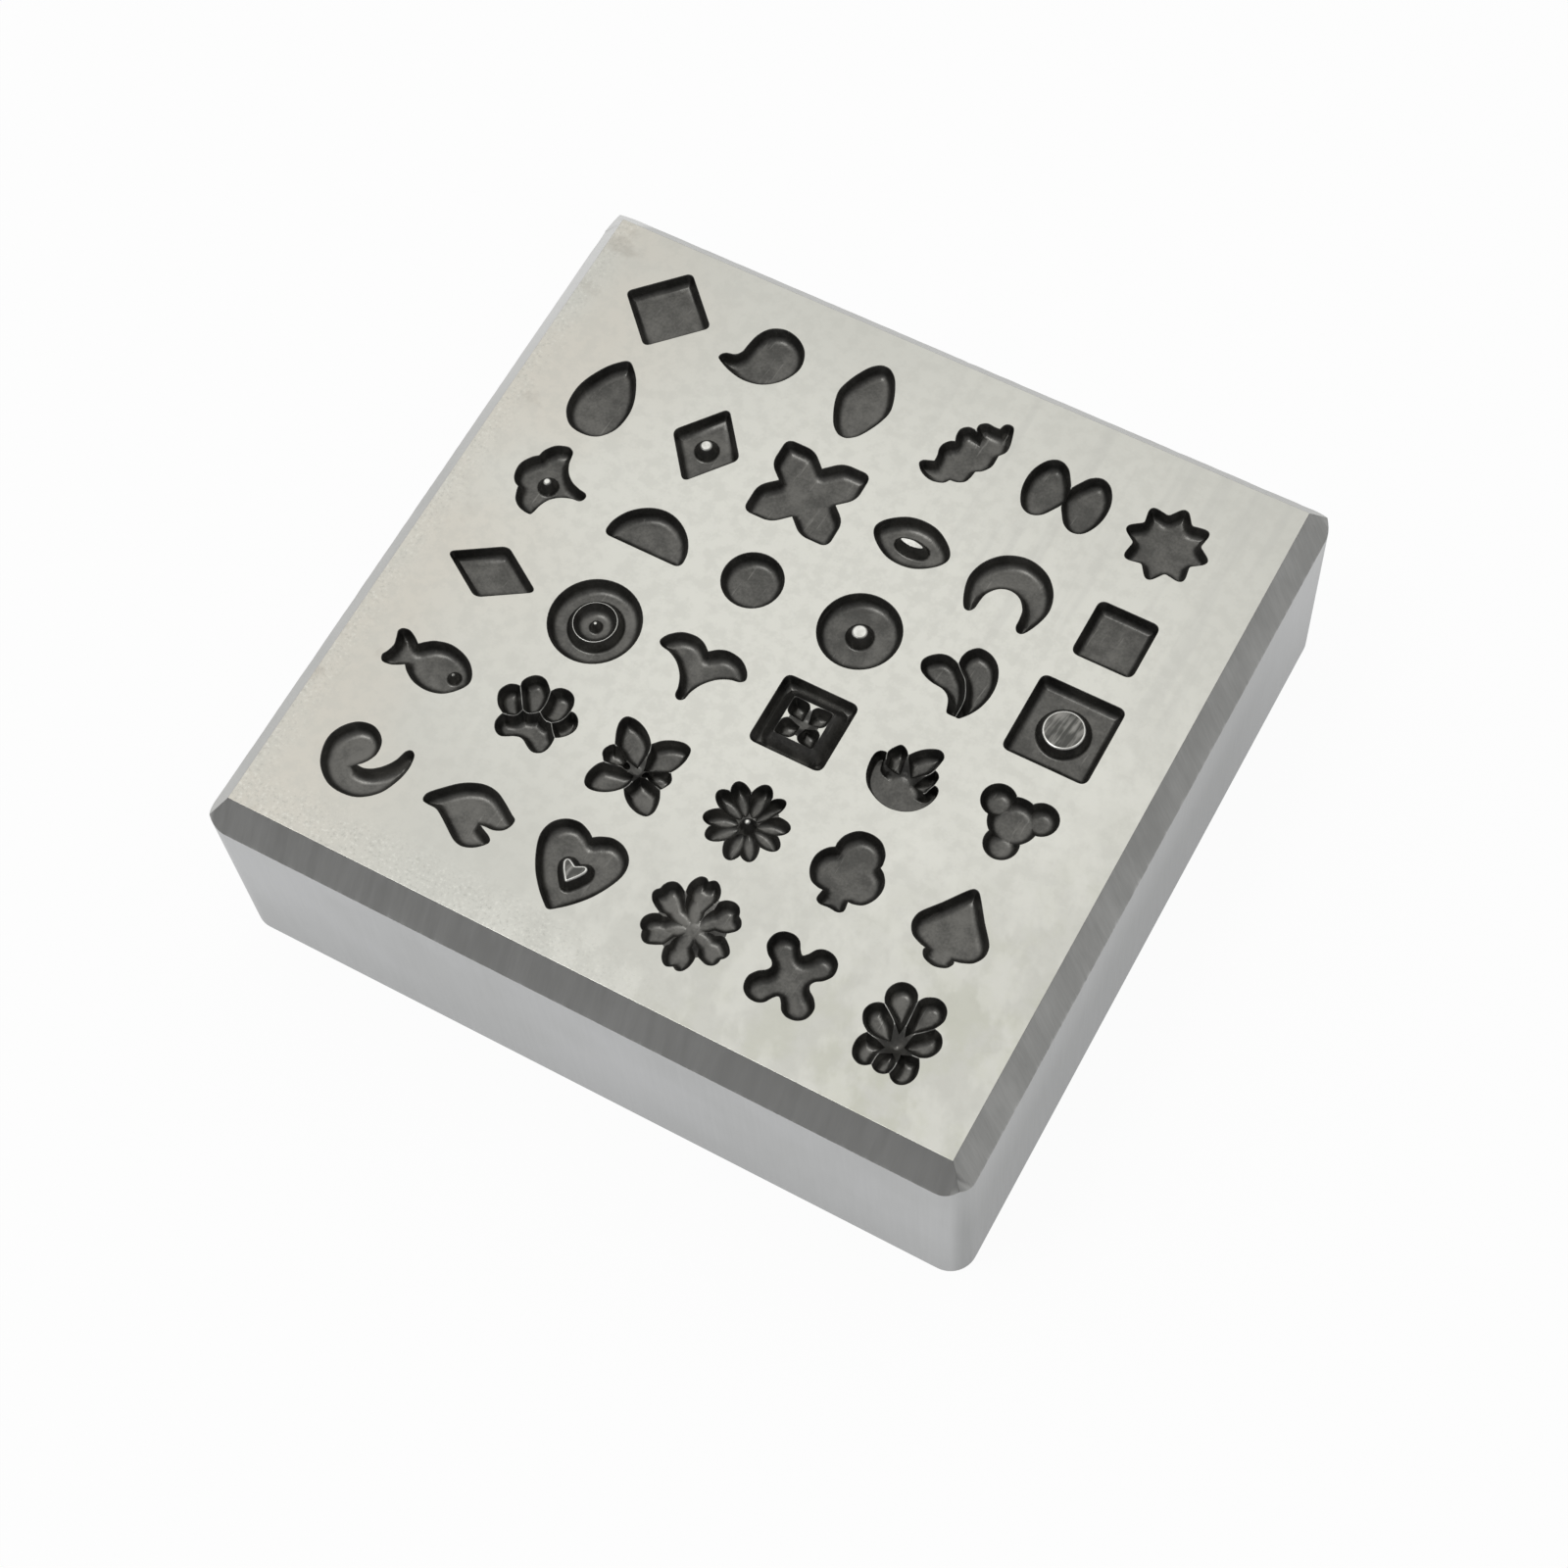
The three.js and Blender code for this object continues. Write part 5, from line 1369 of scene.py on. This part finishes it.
class Finish:
    """The nodes of one material, or of the world."""

    def __init__(self, owner):
        owner.use_nodes = True
        self.owner, self.tree = owner, owner.node_tree
        self.tree.nodes.clear()

    def node(self, kind, settings=None, values=None, output=0):
        """A node of a kind, with its settings, then the values or wires of its sockets."""
        node = self.tree.nodes.new("ShaderNode" + kind)
        for name, value in (settings or {}).items():
            setattr(node, name, value)
        for name, value in (values or {}).items():
            if isinstance(value, Wire):
                self.tree.links.new(value.socket, node.inputs[name])
            else:
                node.inputs[name].default_value = value
        return Wire(self, node.outputs[output]) if len(node.outputs) else None

    def place(self, scale=(1, 1, 1), turn=0):
        """The place on the piece in millimetres, turned about the upright and stretched."""
        where = self.node("TexCoord", output="Object")
        stretched = [share / METRES_PER_MM for share in scale]
        turned = self.node("Mapping", values={"Vector": where, "Rotation": (0, 0, math.radians(turn))})
        return self.node("Mapping", values={"Vector": turned, "Scale": stretched})

    def cloud(self, size, detail=3, roughness=0.5, scale=(1, 1, 1), turn=0):
        """A soft pattern from 0 to 1, whose patches are about a size in millimetres."""
        where = self.place(scale, turn)
        values = {"Vector": where, "Scale": 1 / size, "Detail": detail, "Roughness": roughness}
        return self.node("TexNoise", values=values)

    def along(self, axis):
        """How far a point lies along an axis of the piece, in millimetres."""
        return self.node("SeparateXYZ", values={0: self.place()}, output=axis)

    def ray(self, kind):
        """Whether the light's way comes from the camera, a mirroring surface or through glass."""
        return self.node("LightPath", output=f"Is {kind} Ray")

    def blend(self, share, one, other):
        """Two colours mixed by a share of the other."""
        one, other = [colour if isinstance(colour, Wire) else (*colour, 1) for colour in (one, other)]
        return self.node("Mix", {"data_type": "RGBA"}, {0: share, 6: one, 7: other}, output=2)

    def layered(self, colour, *layers):
        """A colour with tints laid over it one after the other, each by its own share."""
        for share, tint in layers:
            colour = self.blend(share, colour, tint)
        return colour

    def bump(self, height, depth):
        """A relief whose full height is a depth in millimetres."""
        return self.node("Bump", values={"Height": height, "Distance": depth * METRES_PER_MM, "Strength": 1})

    def steel(self, colour, roughness, normal):
        """Bare steel as this material's surface."""
        surface = self.node("BsdfPrincipled", values={
            "Base Color": colour, "Roughness": roughness, "Metallic": 1, "Normal": normal,
        })
        self.node("OutputMaterial", values={"Surface": surface})
        return self.owner


def material(name):
    return Finish(bpy.data.materials.new(name))


def ground_top():
    """The ground face, wiped: a painted sheen brightest in the middle, warmer at the left, with strokes and
    smudges.
    """
    finish = material("ground_top")
    x, y = finish.along("X"), finish.along("Y")
    clouds = finish.cloud(16, 3)
    patches = finish.cloud(3.5, 4, 0.6)
    grain = finish.cloud(0.16, 2)
    strokes = finish.cloud(1.6, 3, 0.55, scale=(1, 0.07, 1)).ramp(0.52, 0.7)
    fine = finish.cloud(1.1, 4, 0.65).ramp(0.42, 0.62)
    rubbing = finish.cloud(3.2, 4, 0.6, scale=(1, 0.6, 1), turn=-20).ramp(0.45, 0.6)
    specks = finish.cloud(0.3, 3, 0.7)
    # Painted sheen: brightest at one spot and fading with the square of the way from there, mixed with random
    # cloud tone
    across, along = x - sheen_middle_x, y - sheen_middle_y
    tone = across * across * sheen_falloff_x + along * along * sheen_falloff_y + clouds * 0.5 - 0.2
    worn = y.ramp(*worn_y).most(x.ramp(*worn_x)) * x.ramp(*worn_end_x)
    to_corner = x - y
    colour = finish.layered(
        finish.blend(tone.ramp(0, 0.75), ground_tone_and_sheen_bright, ground_tone_and_sheen_dim),
        (x.ramp(*warm_x) * clouds.ramp(0.35, 0.6) * 0.45, ground_warm),
        (strokes * x.ramp(*stroked_x) * y.ramp(*stroked_y) * 0.2, ground_stroke),
        (fine * 0.28, ground_speck),
        (to_corner.ramp(*olive_corner) * patches.ramp(0.42, 0.62) * 0.4, ground_olive),
        (to_corner.ramp(*rubbed_corner) * rubbing * 0.35, ground_rubbed),
        (worn * specks.ramp(0.54, 0.66) * 0.4, ground_grain),
        (worn * specks.ramp(0.44, 0.36) * 0.4, ground_pit),
        (x.ramp(*smudged_x) * patches.ramp(0.55, 0.7) * 0.3, ground_smudge),
    )
    return finish.steel(colour, 0.26 + 0.06 * patches + 0.04 * grain, finish.bump(grain + patches, 0.003))


def milled(name, scale, turn=0, right_shade_share=1):
    """A chamfer cut by short strokes across it, with painted highlight at the back left and painted shade at
    the right.
    """
    finish = material(name)
    x, y, height = finish.along("X"), finish.along("Y"), finish.along("Z")
    strokes = finish.cloud(0.5, 4, 0.6, scale, turn)
    fine = finish.cloud(0.16, 2, 0.6, scale, turn)
    nicks = finish.cloud(0.4, 3, 0.7, scale, turn).ramp(0.68, 0.76)
    tone = (strokes * 0.35 + fine * 0.2 + finish.cloud(4, 2) * 0.45).ramp(0.3, 0.7)
    feather = plate_height - chamfer_drop + feather_rise - height + strokes * feather_length
    colour = finish.layered(
        finish.blend(tone, chamfer_dark, chamfer_light),
        # Painted highlight on the left chamfer towards the back, and painted shade towards the right, deepest
        # on the right chamfer
        (x.ramp(*painted_highlight_x) * y.ramp(*painted_highlight_y) * 0.8, chamfer_painted_highlight),
        (x.ramp(*painted_shade_x) * (1 - tone * 0.5), [channel * right_shade_share for channel in chamfer_dark]),
        (feather.ramp(0.4, 0.75) * 0.45, chamfer_feather),
        (nicks * x.ramp(*nicked_x) * 0.4, chamfer_nick),
    )
    return finish.steel(colour, 0.32 + 0.1 * strokes, finish.bump(strokes + fine, 0.003))


def milled_sides():
    """The upright sides, milled smooth, with painted shade: a little darker towards the foot, the right one
    darker still.
    """
    finish = material("milled_sides")
    x, y, height = finish.along("X"), finish.along("Y"), finish.along("Z")
    lines = finish.cloud(0.25, 3, 0.6, scale=(1, 1, 0.04))
    # Painted shade on the right side, weaker towards the back and the top, and painted shade towards the foot
    right_shade_weight = (1 - y.ramp(*right_shade_y) * 0.75) * (1 - height.ramp(*right_shade_z) * 0.45)
    colour = finish.layered(
        finish.blend(finish.cloud(9, 3).ramp(0.3, 0.7), side_dark, side_light),
        (height.ramp(*foot_shade_z) * 0.6, side_foot_shade),
        (x.ramp(*right_shade_x) * right_shade_weight, side_right_shade),
    )
    return finish.steel(colour, 0.3 + 0.1 * lines, finish.bump(lines, 0.002))


def sunk_steel():
    """The dark skin of the figures, softly mottled, with a few fine scratches."""
    finish = material("sunk_steel")
    mottle = finish.cloud(1.4, 4, 0.6)
    specks = finish.cloud(0.22, 2, 0.6)
    scratches = finish.cloud(0.35, 3, 0.6, scale=(1, 0.08, 1), turn=4).ramp(0.62, 0.72)
    tone = (finish.cloud(12, 2) * 0.35 + mottle * 0.45 + specks * 0.2).ramp(0.36, 0.64)
    colour = finish.layered(finish.blend(tone, skin_dark, skin_light), (scratches * 0.35, skin_scratch))
    return finish.steel(colour, 0.3 + 0.14 * mottle, finish.bump(mottle + specks * 0.4, 0.02))


def worn_ridge():
    """The crests of the ridges and the rims of the islands, brighter than the skin: partly rubbed, partly
    painted highlight.
    """
    finish = material("worn_ridge")
    wear = finish.cloud(1.1, 2)
    colour = finish.blend(wear.ramp(0.35, 0.65), ridge_dark, ridge_light)
    return finish.steel(colour, 0.28 + 0.15 * wear, finish.bump(wear, 0.004))


def burnished_pin():
    """The bright tops of the pins."""
    finish = material("burnished_pin")
    wear = finish.cloud(0.5, 2)
    colour = finish.blend(wear.ramp(0.3, 0.7), pin_dark, pin_light)
    return finish.steel(colour, 0.2 + 0.12 * wear, finish.bump(wear, 0.004))


def boss_top():
    """The tops of the boss and of the inner heart, which lie below the ground face and keep their streaks."""
    finish = material("boss_top")
    streaks = finish.cloud(0.45, 3, 0.6, scale=(1, 0.12, 1), turn=8)
    tone = (streaks * 0.7 + finish.cloud(1.2, 2) * 0.3).ramp(0.42, 0.62)
    colour = finish.blend(tone, boss_dark, boss_light)
    return finish.steel(colour, 0.3 + 0.2 * streaks, finish.bump(streaks, 0.03))


plate = shot_plate()
finishes = [
    ground_top(), milled("milled_ends", (1, 0.1, 0.1)),
    milled("milled_flanks", (0.1, 1, 0.1), 24, right_shade_share=0.7),
    milled_sides(), sunk_steel(), worn_ridge(), burnished_pin(), boss_top(),
]
for finish in finishes:
    plate.data.materials.append(finish)
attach(plate, "root")
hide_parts("shot_plate")


# Floor, light and camera


def pale_floor():
    """A round white table, seen white by the camera and by the metal, which keeps a soft shadow."""
    disc = bmesh.new()
    bmesh.ops.create_circle(disc, cap_ends=True, segments=floor_sides, radius=floor_radius * METRES_PER_MM)
    floor = as_object(disc, "floor")
    bpy.context.scene.collection.objects.link(floor)
    finish = material("white_table")
    seen = finish.ray("Camera").most(finish.ray("Transmission")) * FLOOR_WHITE_SHARE
    share = seen.most(finish.ray("Glossy") * FLOOR_MIRRORED_SHARE)
    matt = finish.node("BsdfDiffuse", values={"Color": (*floor_colour, 1)})
    white = finish.node("Emission", values={"Color": (*studio_white, 1), "Strength": 1})
    surface = finish.node("MixShader", values={0: share, 1: matt, 2: white})
    finish.node("OutputMaterial", values={"Surface": surface})
    floor.data.materials.append(finish.owner)


def studio_world():
    """A plain studio: bright overhead behind the plate, dimmer in front of it and towards the horizon. The
    camera itself sees it white."""
    world = bpy.data.worlds.new("studio")
    bpy.context.scene.world = world
    finish = Finish(world)
    way = finish.node("TexCoord", output="Generated")
    rise = finish.node("SeparateXYZ", values={0: way}, output="Z")
    facing = {0: way, 1: studio_behind}
    behind = finish.node("VectorMath", {"operation": "DOT_PRODUCT"}, facing, output="Value")
    share = rise.ramp(*STUDIO_RISE_SHARES) * behind.ramp(*STUDIO_BEHIND_SHARES)
    shade = finish.blend(share, studio_dim, studio_bright)
    colour = finish.blend(finish.ray("Camera"), shade, studio_white)
    finish.node("OutputWorld", values={"Surface": finish.node("Background", values={"Color": colour})})


def soft_lamp():
    """A small round lamp in front of the plate, high up at the left, which looks at the plate's foot."""
    lamp = bpy.data.lights.new("overhead_softbox", "AREA")
    lamp.shape = "DISK"
    lamp.size = lamp_width * METRES_PER_MM
    lamp.energy = lamp_watts
    holder = bpy.data.objects.new("overhead_softbox", lamp)
    bpy.context.scene.collection.objects.link(holder)
    holder.location = lamp_place * METRES_PER_MM
    holder.rotation_euler = (-holder.location).to_track_quat("-Z", "Y").to_euler()


def photo_camera():
    lens = bpy.data.cameras.new("camera")
    lens.sensor_width = sensor_width
    lens.lens = sensor_width * focal_length_px / photo_width_px
    camera = bpy.data.objects.new("camera", lens)
    bpy.context.scene.collection.objects.link(camera)
    way = (camera_aim - camera_place).to_track_quat("-Z", "Y").to_matrix().to_4x4()
    turned = way @ Matrix.Rotation(camera_roll, 4, "Z")
    camera.matrix_world = Matrix.Translation(camera_place * METRES_PER_MM) @ turned
    bpy.context.scene.camera = camera


pale_floor()
studio_world()
soft_lamp()
photo_camera()
bpy.context.scene.view_settings.view_transform = "Standard"
